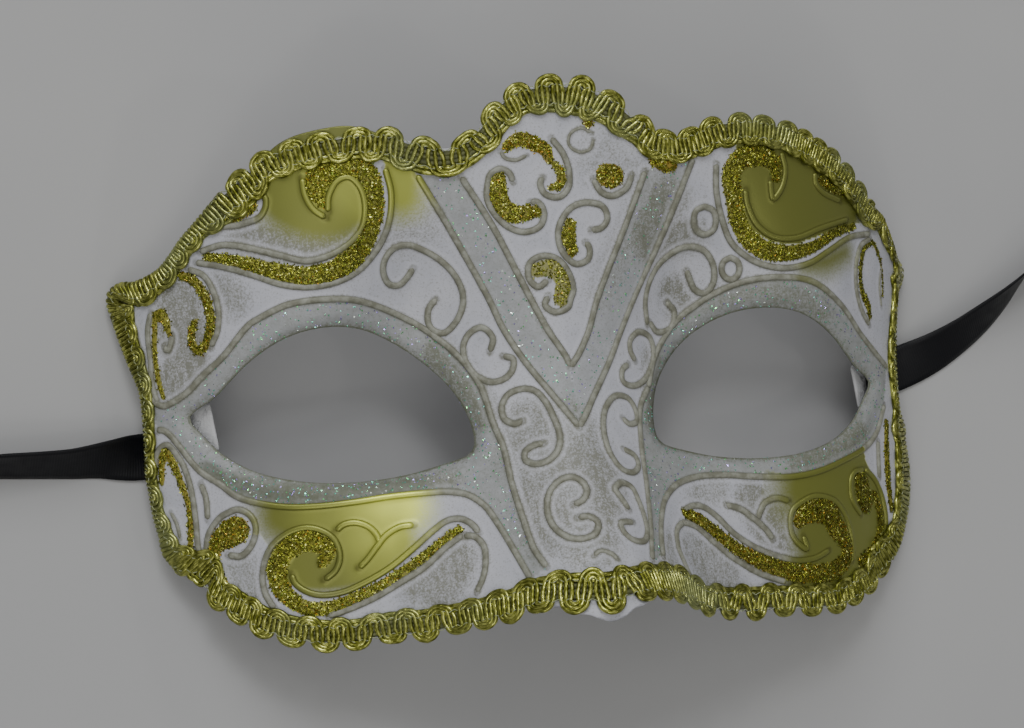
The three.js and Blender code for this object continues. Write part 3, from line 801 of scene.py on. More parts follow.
# Raised ornament. A ridge is a beaded line, given by pixels of the picture that it passes through.
RIDGES = {
    "left_v_outer": [(417, 175), (448, 226), (488, 297), (504, 330), (527, 364), (556, 399), (579, 427)],
    "left_v_inner": [(461, 177), (492, 225), (522, 282), (548, 330), (566, 357), (570, 367)],
    "right_v_inner": [(645, 171), (626, 223), (597, 299), (588.6, 330), (579, 353), (570.4, 367)],
    "right_v_outer": [
        (693, 158), (668, 221), (633, 300), (621, 330), (608, 364), (594, 395), (583, 420), (579, 427)],
    "left_swoosh_inner": [
        (328, 212), (328.6, 196.5), (337, 181), (349, 177), (360, 187), (365, 206), (362, 227),
        (351, 242), (330, 255), (307, 261), (282, 256), (253, 249), (224, 245), (200, 252)],
    "left_swoosh_outer": [
        (385, 168), (391, 193), (389, 221), (379, 246), (360, 269), (339, 281), (310, 287),
        (282, 284.5), (253, 275), (224, 267), (196, 262.5)],
    "left_swoosh_hook": [(302, 178), (305, 195), (313, 209), (326, 218)],
    "left_teardrop": [(257, 189), (266, 200), (261, 216), (242, 224), (219, 227)],
    "left_scroll": [
        (413, 268), (408, 276), (399, 285), (389, 284), (383, 272), (385, 259), (394, 248),
        (408, 245), (423, 250), (440, 260), (454, 274), (462, 290), (463, 305), (456, 322),
        (444, 333), (433, 330), (428, 321), (429, 308.5), (436, 299)],
    "left_curl": [
        (490, 352), (493, 338), (482, 327.5), (470, 333), (463.5, 346), (466, 362), (476.5, 376),
        (492, 382), (506, 378), (513, 369), (513, 359), (503, 356)],
    "left_big_s": [
        (523, 421), (514, 424), (504, 418), (502, 406.5), (508, 395), (522, 389), (535, 391),
        (545, 401), (554, 418), (560, 437), (558, 450.5), (548, 461), (535, 464), (525.5, 460),
        (525.5, 452), (533, 446), (544, 443)],
    "nose_c": [
        (574, 505), (583, 500), (587, 491), (582, 482), (571, 477), (558, 482), (549, 494.5),
        (548, 514), (556, 529), (569, 537.5), (585, 538.5), (596, 533), (598, 523), (589, 516.5),
        (578, 518)],
    "right_small_c": [
        (635, 361), (630, 351), (630, 340), (638, 332), (648, 336), (653, 349), (652, 364),
        (644, 380), (633, 386), (623, 382), (622, 370), (628, 364)],
    "right_big_c": [
        (622, 418), (629, 424), (636, 422), (635, 410), (627, 398), (615, 396), (606, 406.5),
        (603, 422), (605, 439), (611.5, 456), (623, 470), (633, 472.5), (638, 467), (634.5, 456),
        (623, 449)],
    "right_low_curl": [
        (629, 510), (621, 498), (615, 489), (621, 483), (631, 487), (638, 500), (644, 517),
        (647, 533), (644, 541), (633, 540), (623, 531), (621, 523), (633, 522)],
    "nose_arc": [(594, 556), (600, 551), (610, 553), (618, 559.5)],
    "right_nose_line": [(648, 387), (640, 406.5), (641, 445), (646, 483), (650, 521), (652, 560)],
    "left_rim_upper": [
        (152, 397), (156, 403), (163.5, 406), (172, 403), (187, 393), (202, 377), (223, 357),
        (249, 325), (260, 318), (275, 310), (290, 304), (330, 299), (360, 301), (400, 316),
        (430, 333), (460, 358), (480, 385), (493, 422), (504, 449), (512, 483), (523.5, 519),
        (535, 550), (547, 567)],
    "left_rim_lower": [
        (157, 431), (162, 430), (170, 435), (180, 447), (200, 471), (220, 484), (237, 496.5),
        (261, 503.6), (289, 507), (320, 506), (355, 502), (391, 496.5), (426, 493), (450, 492),
        (468, 495), (485, 506), (499, 525), (513, 548), (531, 579)],
    "right_rim_upper": [
        (648, 387), (655, 355), (675, 322), (700, 302), (713, 294), (746, 281), (783, 277),
        (813, 282), (840, 304), (861, 335), (875, 353), (886, 367)],
    "right_rim_lower": [
        (663, 556), (661, 536), (661, 520), (665, 499), (676, 485), (694, 477.5), (720, 475),
        (756, 476.6), (792, 476.6), (819, 471), (842, 461), (863, 449), (875, 435), (884, 405)],
    "left_edge_side": [(133, 323), (140, 345), (147, 372)],
    "left_edge_fork": [(151, 313), (148, 331), (151, 362), (153, 388), (158, 403)],
    "left_edge_hook": [(171.6, 335), (171.6, 342), (167.6, 351), (165, 346)],
    "left_edge_curl": [(188, 269), (204, 276), (214.5, 294), (218.6, 311), (217.6, 331), (211, 347)],
    "left_low_fork": [
        (156, 470), (158, 452), (167, 445), (180.5, 460), (190, 484), (196, 519.5), (199, 550),
        (203.5, 562)],
    "left_low_stroke": [(201, 484), (206, 497), (208, 519.5)],
    "left_low_mark": [(171, 512), (177, 524), (180.5, 539)],
    "left_blob_ring": [
        (207, 560), (207, 545), (209.6, 533), (220, 518), (228, 513), (239, 509.5), (251, 516),
        (256, 528), (252, 545), (241, 556), (228, 555)],
    "left_swirl_ring": [
        (324.5, 580), (336, 570), (340, 555.5), (334, 539), (320, 530), (303, 528), (284, 535.5),
        (269, 551), (263, 574), (265.5, 593), (275, 609)],
    "left_swirl_inner": [
        (291.5, 574), (296, 584), (308, 592), (322, 595), (343, 592), (367, 581.5), (391, 567),
        (414, 548), (433, 531), (447, 521), (461, 519), (473, 525), (479, 533)],
    "left_swirl_outer": [
        (463, 535), (445, 548), (426, 566), (398, 584), (374, 598), (344, 611), (328, 616)],
    "left_arch": [(464, 535.5), (475.5, 537), (484, 546), (486, 563), (483, 579), (477, 592)],
    "left_y_long": [
        (414, 525), (400, 527), (386, 535.5), (376, 548), (367, 560), (359, 568)],
    "left_y_short": [(336, 531), (343, 525), (355, 522.5), (369, 527), (378, 537), (379, 542.5)],
    "v_bean": [
        (513, 182), (509, 173), (499.5, 169), (490, 175), (488, 182), (487, 198), (494, 213),
        (507, 226), (524, 232), (540, 226), (544, 213), (538, 202.5), (530, 202)],
    "v_arch": [(500, 151), (505, 158), (516, 160), (527, 155)],
    "v_comma_a": [
        (551, 138), (563, 154), (569, 173), (568, 188), (559, 197), (545, 194), (540, 184),
        (542.5, 177)],
    "v_comma_b": [
        (591, 230), (601, 228), (607, 219), (603, 207), (587.5, 202.5), (572, 207), (561, 221),
        (558, 236), (563, 253), (576, 264), (588, 259), (589, 247.5), (585, 242)],
    "v_comma_c": [
        (548, 280), (538, 287), (529, 278), (530, 263), (542, 256), (557, 259), (568, 272),
        (573, 290), (570, 300), (568, 307), (555, 312), (545, 305), (548, 296)],
    "v_dot_ring": [(593, 179), (601, 192), (612, 196), (626, 188), (631.5, 175)],
    "v_faint_ring": [
        (592, 133), (581, 128), (570, 134), (569, 145), (579, 152), (590, 149), (593, 140)],
    "right_circle_big": [
        (704.6, 206.4), (713, 210.5), (715.6, 220.4), (713, 230), (704.6, 234.4), (696, 230),
        (693.6, 220.4), (696, 210.5), (704.6, 206.4)],
    "right_circle_small": [
        (730.4, 257.6), (737, 261), (739.4, 268.6), (737, 276), (730.4, 279.6), (724, 276),
        (721.4, 268.6), (724, 261), (730.4, 257.6)],
    "right_scroll": [
        (647, 325), (645, 300), (652, 275), (665, 258), (685, 247), (703, 250), (713, 265),
        (713, 283), (705, 293), (695, 290), (689, 278), (686, 270)],
    "right_scroll_small": [(666, 302), (674, 312), (670, 328), (657, 332), (649, 322)],
    "right_swoosh_outer": [
        (716, 164), (716, 190), (721, 216), (731, 242), (747, 257), (764, 265), (786, 268),
        (809, 263), (829, 250.5), (850, 237), (869, 234)],
    "right_swoosh_inner": [
        (745, 190), (747, 204), (757, 225), (774, 237), (795, 238), (821, 228), (847, 219.5)],
    "right_swoosh_hook": [(781, 152), (785, 170), (781, 189), (773, 199), (771, 192), (770, 180)],
    "right_teardrop": [(815, 172), (815, 182), (822, 192), (840, 201)],
    "right_edge_drop": [(870, 239), (861, 245), (856, 262), (856, 290), (862, 312), (869, 325)],
    "right_edge_inner": [(881, 267), (879, 284), (881, 307)],
    "right_stroke": [(877.5, 441), (878, 460), (879, 478)],
    "right_blob_ring": [
        (863, 469.5), (854, 472), (850, 485), (852.5, 501), (861, 515)],
    "right_blob_side": [(865, 469), (874, 479), (881, 494), (885, 511), (886, 526)],
    "right_swirl_ring": [
        (803, 536), (807, 547), (806, 549), (795, 540), (790, 526), (792, 511), (801, 502),
        (815, 496), (833, 500), (842, 510), (849, 526), (852.5, 547), (852, 561)],
    "right_swirl_inner": [
        (683, 511), (692, 506), (702.5, 507), (717, 517), (733, 533), (754, 547), (776, 556),
        (797, 560.5), (815, 558), (829, 550)],
    "right_swirl_outer": [
        (681, 522), (694, 526), (711, 540), (733, 558), (761, 574), (786, 582)],
    "right_arch": [(683, 522), (677, 529), (678, 547), (685, 565), (695, 588)],
    "right_y_long": [(726, 505), (740, 509), (754, 519), (765, 529), (773, 539)],
    "right_y_short": [(789, 501), (776, 498), (765, 502.5), (760, 511), (758, 519)],
}
BEAD = {
    "half_width": 0.76, "height": 0.54, "step": 0.5, "sides": 8, "taper": 0.9, "end": 0.35,
    "bank": 1.2, "closed": 0.3,
}
SWELL = {"height": 0.16, "slope": (0.3, 1.3)}
FAINT = {
    "v_faint_ring": 0.5, "nose_arc": 0.7, "left_low_mark": 0.6, "right_edge_inner": 0.6,
    "v_arch": 0.6, "left_edge_side": 0.6,
}

# Glitter pads: how amber, how dense, and pixels with the half width there in millimetres
PADS = {
    "left_swoosh": (0.12, 1.0, [
        (207, 257, 0.9), (240, 262, 1.3), (253, 266, 1.5), (280, 272, 1.8), (307, 276, 2.0),
        (340, 268, 2.3), (358, 250, 2.4), (372, 222, 2.0), (375, 196, 1.8), (365, 172, 2.3),
        (335, 166, 2.5), (316, 185, 2.5), (322, 205, 0.8)]),
    "left_teardrop": (0.4, 1.0, [(213, 225, 1.0), (232, 216, 1.6), (252, 206, 1.3)]),
    "left_edge_fork": (0.25, 0.4, [
        (155, 314, 0.6), (155, 321, 0.7), (155, 352, 0.65), (159, 382, 0.65), (163.5, 398, 0.5)]),
    "left_edge_head": (0.25, 0.4, [(161, 315, 1.4), (165.5, 321, 1.1), (169.6, 335.5, 0.5)]),
    "left_edge_curl": (0.35, 0.8, [
        (182, 276, 0.9), (193, 280, 1.05), (203, 293, 1.1), (209, 309, 1.1), (211, 326, 1.05),
        (207, 342, 1.05), (199, 351, 1.0), (193, 345, 0.9), (192, 331, 0.9), (196, 321, 0.5)]),
    "left_low_fork": (0.4, 0.5, [
        (162, 482, 0.75), (162.5, 462, 0.85), (164.5, 450, 0.9), (169, 456, 1.0), (174.5, 466, 0.95),
        (181, 482, 0.8), (186.5, 497, 0.7), (190, 512, 0.7), (191, 545, 0.7)]),
    "left_blob": (0.45, 1.0, [
        (237, 530, 2.9), (228, 535, 2.8), (218, 544, 2.0), (213, 553, 1.6), (216, 570, 1.5),
        (222, 584, 1.5)]),
    "left_swirl": (0.15, 1.0, [
        (322, 563, 1.0), (329, 551, 1.6), (317, 542.5, 2.2), (301, 541, 2.2), (284, 553, 2.2),
        (277, 570, 2.2), (280, 586, 2.0), (291.5, 600, 1.7), (310, 608.6, 1.5), (332, 607, 1.35),
        (355, 598, 1.2), (379, 587, 1.1), (402, 572, 1.0), (426, 555.5, 1.0), (445, 540, 0.95),
        (459, 529.6, 0.85)]),
    "v_arch": (0.8, 1.0, [
        (507, 146, 1.1), (519, 139, 1.5), (534, 144, 1.5), (545, 150, 1.4), (549, 159, 1.0)]),
    "v_bean": (0.3, 1.0, [
        (498, 180, 1.7), (498, 190, 1.9), (500, 202, 2.0), (511, 213, 1.9), (526, 213, 1.6),
        (537, 211, 1.2)]),
    "v_dot": (0.6, 1.0, [(607, 175, 2.5), (612, 176, 2.5)]),
    "v_comma_a": (0.2, 0.7, [(553, 163, 0.6), (560, 172, 1.0), (560, 184, 1.0), (551, 188, 0.7)]),
    "v_comma_b": (0.2, 0.9, [(570, 224, 1.3), (568, 238, 1.5), (572, 250, 1.3)]),
    "v_comma_c": (0.1, 0.35, [(537, 270, 1.6), (552, 268, 1.9), (563, 280, 1.8), (561, 299, 1.6)]),
    "crown_glue": (1.0, 1.0, [(583, 110, 0.8), (588, 123, 1.1)]),
    "right_lobe_glue": (1.0, 1.0, [(653, 161, 1.0), (664, 165, 1.4), (672, 166, 1.2)]),
    "right_swoosh": (0.1, 1.0, [
        (853.5, 226, 0.7), (835, 233, 1.0), (812, 247, 1.25), (788, 253, 1.7), (767, 250.5, 2.0),
        (750, 240, 2.0), (738, 220, 1.9), (733, 195, 1.9), (731, 173, 2.1), (742, 158, 2.3),
        (760.5, 156, 2.2), (774, 164, 1.8), (776, 176.5, 1.2)]),
    "right_teardrop": (0.3, 1.0, [(821, 180, 1.0), (831, 187, 1.1), (843, 192, 1.0)]),
    "right_edge_drop": (0.15, 1.0, [
        (878, 254, 0.5), (872, 243, 0.6), (865, 246, 0.7), (861, 260, 0.65), (860, 278.5, 0.65),
        (862, 293, 0.8), (867, 304, 1.0), (869.5, 318, 0.5)]),
    "right_edge_line": (0.2, 0.8, [(877, 250, 0.4), (880, 262, 0.4), (882, 280, 0.35), (882, 296, 0.3)]),
    "right_low_fork": (0.3, 0.9, [
        (886, 422, 0.8), (886, 449, 0.9), (888, 484, 0.9), (891, 509, 0.7)]),
    "right_swirl": (0.5, 1.0, [
        (686, 513, 1.4), (702.5, 522, 1.4), (720, 536, 1.45), (740, 551, 1.5), (765, 563, 1.8),
        (792, 572, 2.0), (819, 573, 2.0), (836, 569, 2.0), (847, 556, 2.0), (845, 541, 2.1),
        (836, 527, 2.7), (829, 514, 2.8), (817, 509, 2.7), (805, 513, 2.3), (799, 521, 1.6)]),
    "right_blob": (0.3, 1.0, [(861, 481, 2.5), (863, 492, 3.0), (866, 503, 2.3)]),
    "right_blob_tail": (0.35, 1.0, [
        (874, 494, 0.9), (879, 511, 1.0), (880, 529, 1.1), (874, 547, 1.2), (861, 561, 1.2)]),
}
PAD = {"height": 0.4, "slope": (-1.0, 0.3)}

# How much further away a ridge of no strength counts
FAINT_GAP = 0.7

# Distances that don't matter any more from ridges, pads, wash or frost, and gold
FAR = 6.0
PAD_REACH = 9.0
PAINT_REACH = 14.0
GOLD_REACH = 30.0

# Where wash and frost fade, from the radius of their strokes, and the darkening round the eye openings:
# wash, with painted shade where the face rolls down into them
WASH_SLOPE = (-1.5, 3.5)
EYE_WASH_AND_SHADE = {"strength": 0.8, "reach": 1.6}
FROST_SLOPE = (-1.0, 3.0)

# Where the frosty band is thickest: pixels and the radius in millimetres
FROST_THICK = [
    (205, 468, 1.0), (235, 484, 2.0), (290, 494, 2.2), (350, 492, 2.2), (405, 486, 1.8),
    (430, 482, 1.0),
]

# Colours of the paint, and of the bed under plain and amber glitter. The foot colours are painted shade in
# the crease along the foot of each ridge, with some wash
WHITE = {"low": (0.48, 0.49, 0.55), "high": (0.56, 0.565, 0.62)}
# The wash colour also paints the shade round the eye openings
WASH_AND_SHADE_COLOUR = (0.17, 0.17, 0.12)
FROST_COLOUR = (0.125, 0.137, 0.088)
FOOT_SHADE_COLOUR = {"plain": (0.15, 0.148, 0.11), "gold": (0.10, 0.097, 0.02)}
BEAD_COLOUR = {"dirty": (0.19, 0.19, 0.145), "clean": (0.32, 0.325, 0.275)}
BED_COLOUR = {"gold": (0.235, 0.24, 0.03), "amber": (0.30, 0.21, 0.026)}
GOLD_COLOUR = {"bright": (0.75, 0.81, 0.13), "dark": (0.175, 0.187, 0.048)}

# Airbrushed gold: a closed loop of pixels, and strokes of pixels with radius, softness and darkness
GOLD = {
    "left_forehead": (
        [(258, 150), (262, 190), (266, 200), (261, 216), (250, 240)]
        + RIDGES["left_swoosh_inner"][10::-1] + [(313, 209), (303, 190), (300, 150)], [
        [(284, 168, 4, 6, 0.88), (286, 195, 4, 7, 0.88), (306, 212, 3, 6, 0.91), (332, 214, 3, 6, 0.89),
         (347, 200, 5, 5, 0.74)]]),
    "left_comma": (
        [(300, 150), (303, 190), (313, 209)] + RIDGES["left_swoosh_inner"][:4] + [(345, 150)], [
        [(318, 175, 5, 5, 0.72), (320, 200, 3, 4, 0.72)]]),
    "left_v_top": (
        [(382, 150), (385, 168), (391, 193), (388, 230), (446, 225), (417, 175), (405, 150)], [
        [(396, 168, 3, 9, 0.68), (402, 196, 1, 8, 0.68)]]),
    "left_cheek": (
        [(215, 470)] + RIDGES["left_rim_lower"][6:15] + RIDGES["left_swirl_inner"][10:0:-1]
        + [(285, 590), (263, 574), (269, 551), (270, 548), (256, 530), (250, 514), (215, 500)], [
        [(284, 515, 2, 9, 0.89), (305, 520, 3, 8, 0.81), (335, 518, 5, 7, 0.78), (365, 515, 5, 7, 0.38),
         (385, 510, 4, 9, 0.05), (398, 508, 2, 9, 0.10)],
        [(296, 572, 3, 3, 0.88), (330, 562, 5, 3, 0.93), (365, 550, 5, 5, 0.75), (390, 540, 3, 6, 0.6)]]),
    "right_forehead": ([
        (736, 130), (737, 190), (741, 209), (752, 231), (772, 243), (797, 244), (824, 234),
        (850, 226), (880, 216), (865, 185), (842, 150), (800, 130)], [
        [(765, 180, 12, 5, 0.93), (820, 190, 14, 6, 0.92)]]),
    "right_above_rim": (
        RIDGES["right_swoosh_outer"][5:11] + RIDGES["right_edge_drop"][1:4] + [(860, 330)]
        + RIDGES["right_rim_upper"][8:4:-1], [
        [(806, 266, -1.6, 7, 0.88), (826, 262, -1.2, 8, 0.88), (845, 252, -1.6, 8, 0.88)]]),
    "right_cheek": (
        [(765, 470)] + RIDGES["right_rim_lower"][8:12]
        + [(866, 462), (882, 494), (888, 526), (875, 575), (850, 605), (800, 600), (785, 585),
           (785, 566), (772, 556), (766, 540), (760, 510)], [
        [(807, 488, 3, 12, 0.87), (850, 480, 8, 6, 0.89), (868, 520, 9, 6, 0.89), (845, 560, 10, 6, 0.89),
         (812, 580, 5, 6, 0.92)],
        [(812, 538, 3, 6, 0.9), (824, 526, 3, 4, 0.9)]]),
    "brow_edge": ([
        (268, 160), (290, 150), (320, 141), (350, 137), (380, 136), (410, 139), (425, 144), (425, 110),
        (330, 110), (255, 140)], [
        [(270, 150, 9, 2, 1.0), (345, 125, 9, 2, 1.0), (425, 130, 9, 2, 1.0)]]),
}

# Antiquing wash left in patches: how strong, then pixels with the radius in millimetres
WASH = {
    "left_end": (1.4, [(178, 305, 4), (180, 330, 5), (186, 365, 4), (170, 385, 3)]),
    "left_swoosh_under": (0.8, [(222, 285, 3), (232, 300, 3)]),
    "left_field": (1.3, [(245, 240, 3), (300, 246, 3), (335, 238, 3), (356, 236, 4)]),
    "left_rim_inner": (1.6, [(440, 355, 2.5), (462, 380, 2.5), (482, 412, 2.5)]),
    "left_cheek_gap": (0.7, [(243, 568, 3), (250, 590, 3)]),
    "left_cheek_hollow": (1.0, [(420, 575, 5), (450, 560, 5), (440, 590, 4)]),
    "left_nose_side": (0.9, [(532, 472, 3), (538, 500, 4), (543, 540, 4)]),
    "bridge": (1.1, [(560, 462, 3), (585, 460, 4), (605, 480, 4), (607, 505, 3)]),
    "nose": (0.9, [(530, 430, 6), (565, 440, 8), (580, 500, 8), (590, 540, 6)]),
    "nose_left": (0.6, [(520, 440, 4), (512, 460, 3)]),
    "right_v_side": (1.2, [(668, 200, 4), (650, 240, 4), (690, 235, 3)]),
    "right_scroll_in": (1.3, [(672, 292, 2.5), (678, 305, 2.5)]),
    "v_right": (0.5, [(600, 160, 5), (640, 190, 3), (600, 290, 3)]),
    "left_v_top": (0.5, [(430, 225, 3), (400, 235, 4)]),
    "right_cheek_hollow": (0.8, [(695, 552, 4), (710, 565, 5), (725, 572, 4)]),
    "right_cheek_gap": (0.7, [(697, 493, 2), (718, 490, 2)]),
    "right_cheek_field": (1.4, [(752, 500, 3), (770, 522, 4), (780, 545, 3)]),
    "right_rim_inner": (1.1, [(652, 360, 2), (652, 390, 2), (654, 423, 2)]),
    "right_rim_under": (0.8, [(670, 540, 2), (668, 575, 2)]),
    "right_rim_top": (0.8, [(700, 300, 2), (730, 292, 2), (780, 293, 2), (825, 312, 2)]),
    "right_rim_gold": (1.2, [(800, 462, 2), (840, 450, 2), (862, 435, 2)]),
    "left_rim_low": (1.0, [(290, 492, 1.5), (340, 494, 1.5), (400, 490, 1.5), (450, 480, 1.5)]),
}


def stroke_line(points, step=0.5):
    """A stroke of the picture as a line of points on the face, with its extra columns"""
    curve = spline(points)
    line = np.column_stack([on_face(curve[:, :2]), curve[:, 2:]])
    return even(line, step)


def to_line(points, line, reach):
    """Distance from each point to a line, where it is under reach, and the place along the line"""
    distance = np.full(len(points), np.inf)
    place = np.zeros(len(points))
    low, high = line[:, :3].min(0) - reach, line[:, :3].max(0) + reach
    near = np.flatnonzero(((points > low) & (points < high)).all(1))
    start, span = line[:-1, :3], np.diff(line[:, :3], axis=0)
    square = (span * span).sum(1)
    for part in np.array_split(near, max(1, len(near) * len(start) // 2_000_000)):
        apart = points[part, None, :] - start[None]
        share = np.clip((apart * span).sum(2) / square, 0, 1)
        gap = np.linalg.norm(apart - share[..., None] * span, axis=2)
        best = gap.argmin(1)
        distance[part] = gap[np.arange(len(part)), best]
        place[part] = best + share[np.arange(len(part)), best]
    return distance, place


def near_stroke(points, stroke, reach):
    """Distance from each point to a stroke of the picture, and the stroke's extra columns there"""
    line = stroke_line(stroke)
    gap, place = to_line(points, line, reach)
    return gap, *(np.interp(place, np.arange(len(line)), values) for values in line.T[3:])


def in_loop(points, loop):
    """Which points of a plane lie in a closed loop"""
    x, y = points[:, 0], points[:, 1]
    odd = np.zeros(len(points), dtype=bool)
    for (x0, y0), (x1, y1) in zip(loop[:, :2], np.roll(loop[:, :2], -1, axis=0)):
        if y0 == y1:
            continue
        crossed = (y0 > y) != (y1 > y)
        odd ^= crossed & (x < x0 + (y - y0) * (x1 - x0) / (y1 - y0))
    return odd


# The shell's mesh: a fine front sheet and a coarse back sheet, cut along the same loops and joined
def closed_line(loop):
    return on_plane(np.vstack([loop, loop[:1]]))


def cut_grid(step, loops):
    """An even grid of triangles inside the first loop and outside the others, with its loop places"""
    low, high = loops[0].min(0) - 2 * step, loops[0].max(0) + 2 * step
    rise = step * math.sqrt(3) / 2
    rows = int((high[1] - low[1]) / rise) + 1
    columns = int((high[0] - low[0]) / step) + 2
    row, column = np.meshgrid(np.arange(rows), np.arange(columns), indexing="ij")
    x = low[0] + step * (column + 0.5 * (row % 2))
    points = np.column_stack([x.ravel(), (low[1] + rise * row).ravel()])
    index = row * columns + column
    a, b, c, d = index[:-1, :-1], index[:-1, 1:], index[1:, 1:], index[1:, :-1]
    odd = (row[:-1, :-1] % 2).astype(bool)
    first = np.where(odd[..., None], np.stack([a, b, c], -1), np.stack([a, b, d], -1)).reshape(-1, 3)
    second = np.where(odd[..., None], np.stack([a, c, d], -1), np.stack([b, c, d], -1)).reshape(-1, 3)
    triangles = np.vstack([first, second])

    depth = np.full(len(points), np.inf)
    spatial = on_plane(points)
    snapped = points.copy()
    for number, loop in enumerate(loops):
        line = closed_line(loop)
        within = in_loop(points, loop)
        gap, place = to_line(spatial, line, 3 * step)
        signed = np.where(within == (number == 0), 1, -1) * np.minimum(gap, 3 * step)
        close = gap < SNAP * step
        at = np.floor(place).astype(int).clip(0, len(line) - 2)
        foot = line[at, :2] + (place - at)[:, None] * (line[at + 1, :2] - line[at, :2])
        snapped[close] = foot[close]
        signed[close] = 0
        depth = np.minimum(depth, signed)
    points = snapped

    marks = depth[triangles]
    middle_in = (marks > 0).any(1)
    whole = triangles[middle_in & (marks >= 0).all(1)]
    points = list(map(tuple, points))
    made = {}

    def crossing(i, j):
        key = (min(i, j), max(i, j))
        if key not in made:
            share = depth[key[0]] / (depth[key[0]] - depth[key[1]])
            one, other = points[key[0]], points[key[1]]
            made[key] = len(points)
            points.append(tuple(p + share * (q - p) for p, q in zip(one, other)))
        return made[key]

    extra = []
    for corners in triangles[middle_in & (marks < 0).any(1)]:
        ring = []
        for i, j in zip(corners, np.roll(corners, -1)):
            if depth[i] >= 0:
                ring.append(i)
            if depth[i] * depth[j] < 0:
                ring.append(crossing(i, j))
        extra += [(ring[0], ring[k], ring[k + 1]) for k in range(1, len(ring) - 1)]
    triangles = np.vstack([whole, np.array(extra)])
    used, renumbered = np.unique(triangles, return_inverse=True)
    return np.array(points)[used], renumbered.reshape(-1, 3)


def border_loops(triangles):
    """The closed borders of a sheet of triangles, each as a list of points in order"""
    edges = np.vstack([triangles[:, [0, 1]], triangles[:, [1, 2]], triangles[:, [2, 0]]])
    known = set(map(tuple, edges))
    after = {i: j for i, j in known if (j, i) not in known}
    loops = []
    while after:
        start, ahead = after.popitem()
        loop = [start]
        while ahead != start:
            loop.append(ahead)
            ahead = after.pop(ahead)
        loops.append(loop)
    return loops


def zip_loops(front, back, front_place, back_place):
    """Triangles between two loops that run the same way, matched by their place from 0 to 1"""
    front_order, back_order = np.roll(front, -front_place.argmin()), np.roll(back, -back_place.argmin())
    forward, backward = np.sort(front_place), np.sort(back_place)
    triangles, i, j = [], 0, 0
    while i < len(front) or j < len(back):
        a, b = front_order[i % len(front)], back_order[j % len(back)]
        ahead_a = forward[i + 1] if i + 1 < len(front) else 1 + forward[0]
        ahead_b = backward[j + 1] if j + 1 < len(back) else 1 + backward[0]
        if j >= len(back) or (i < len(front) and ahead_a <= ahead_b):
            triangles.append((a, b, front_order[(i + 1) % len(front)]))
            i += 1
        else:
            triangles.append((a, b, back_order[(j + 1) % len(back)]))
            j += 1
    return triangles


def loop_places(points, loop):
    """Place of each point along a closed loop, from 0 to 1"""
    return to_line(on_plane(points), closed_line(loop), LOOP_REACH)[1] / len(loop)


def shell_mesh():
    loops = [outline_loop(), eye_loop(-1), eye_loop(1)]
    front, front_faces = cut_grid(FRONT_STEP, loops)
    back, back_faces = cut_grid(BACK_STEP, loops)
    walls = []
    shift = len(front)
    for front_loop in border_loops(front_faces):
        home = min(loops, key=lambda loop: np.linalg.norm(loop - front[front_loop[0]], axis=1).min())
        for back_loop in border_loops(back_faces):
            if np.linalg.norm(home - back[back_loop[0]], axis=1).min() > SAME_LOOP:
                continue
            front_place = loop_places(front[front_loop], home)
            back_place = loop_places(back[back_loop], home)
            if ((np.roll(front_place, -1) - front_place) > 0).mean() < 0.5:
                front_place, back_place = -front_place % 1, -back_place % 1
            walls += zip_loops(front_loop, np.array(back_loop) + shift, front_place, back_place)
    faces = np.vstack([front_faces, back_faces[:, ::-1] + shift, np.array(walls)])
    return front, back, faces


def gold_cover(points):
    """How much gold paint lies at each point, and how dark it is"""
    gold, darkness, weight = (np.zeros(len(points)) for _ in range(3))
    seen = to_pixels(points)
    for region, strokes in GOLD.values():
        within = in_loop(seen, np.array(region, float))
        for stroke in strokes:
            gap, radius, soft, dark = near_stroke(points, stroke, GOLD_REACH)
            cover = within * (1 - smoothstep(gap - radius, 0, soft))
            gold = np.maximum(gold, cover)
            darkness += cover**3 * dark
            weight += cover**3
    return gold, darkness / np.maximum(weight, 1e-6)


def lip_drop(flat):
    """How far the face rolls down towards the eye openings"""
    drop = np.zeros(len(flat))
    for side in (-1, 1):
        gap, _ = to_line(on_plane(flat), closed_line(eye_loop(side)), LIP["reach"])
        drop += LIP["drop"] * np.clip(1 - gap / LIP["reach"], 0, 1) ** 2
    return drop


def eye_gap(flat):
    """Distance to the nearer eye opening, where it is under FAR"""
    rims = [closed_line(eye_loop(side)) for side in (-1, 1)]
    return np.minimum(FAR, np.minimum(*(to_line(on_plane(flat), rim, FAR)[0] for rim in rims)))


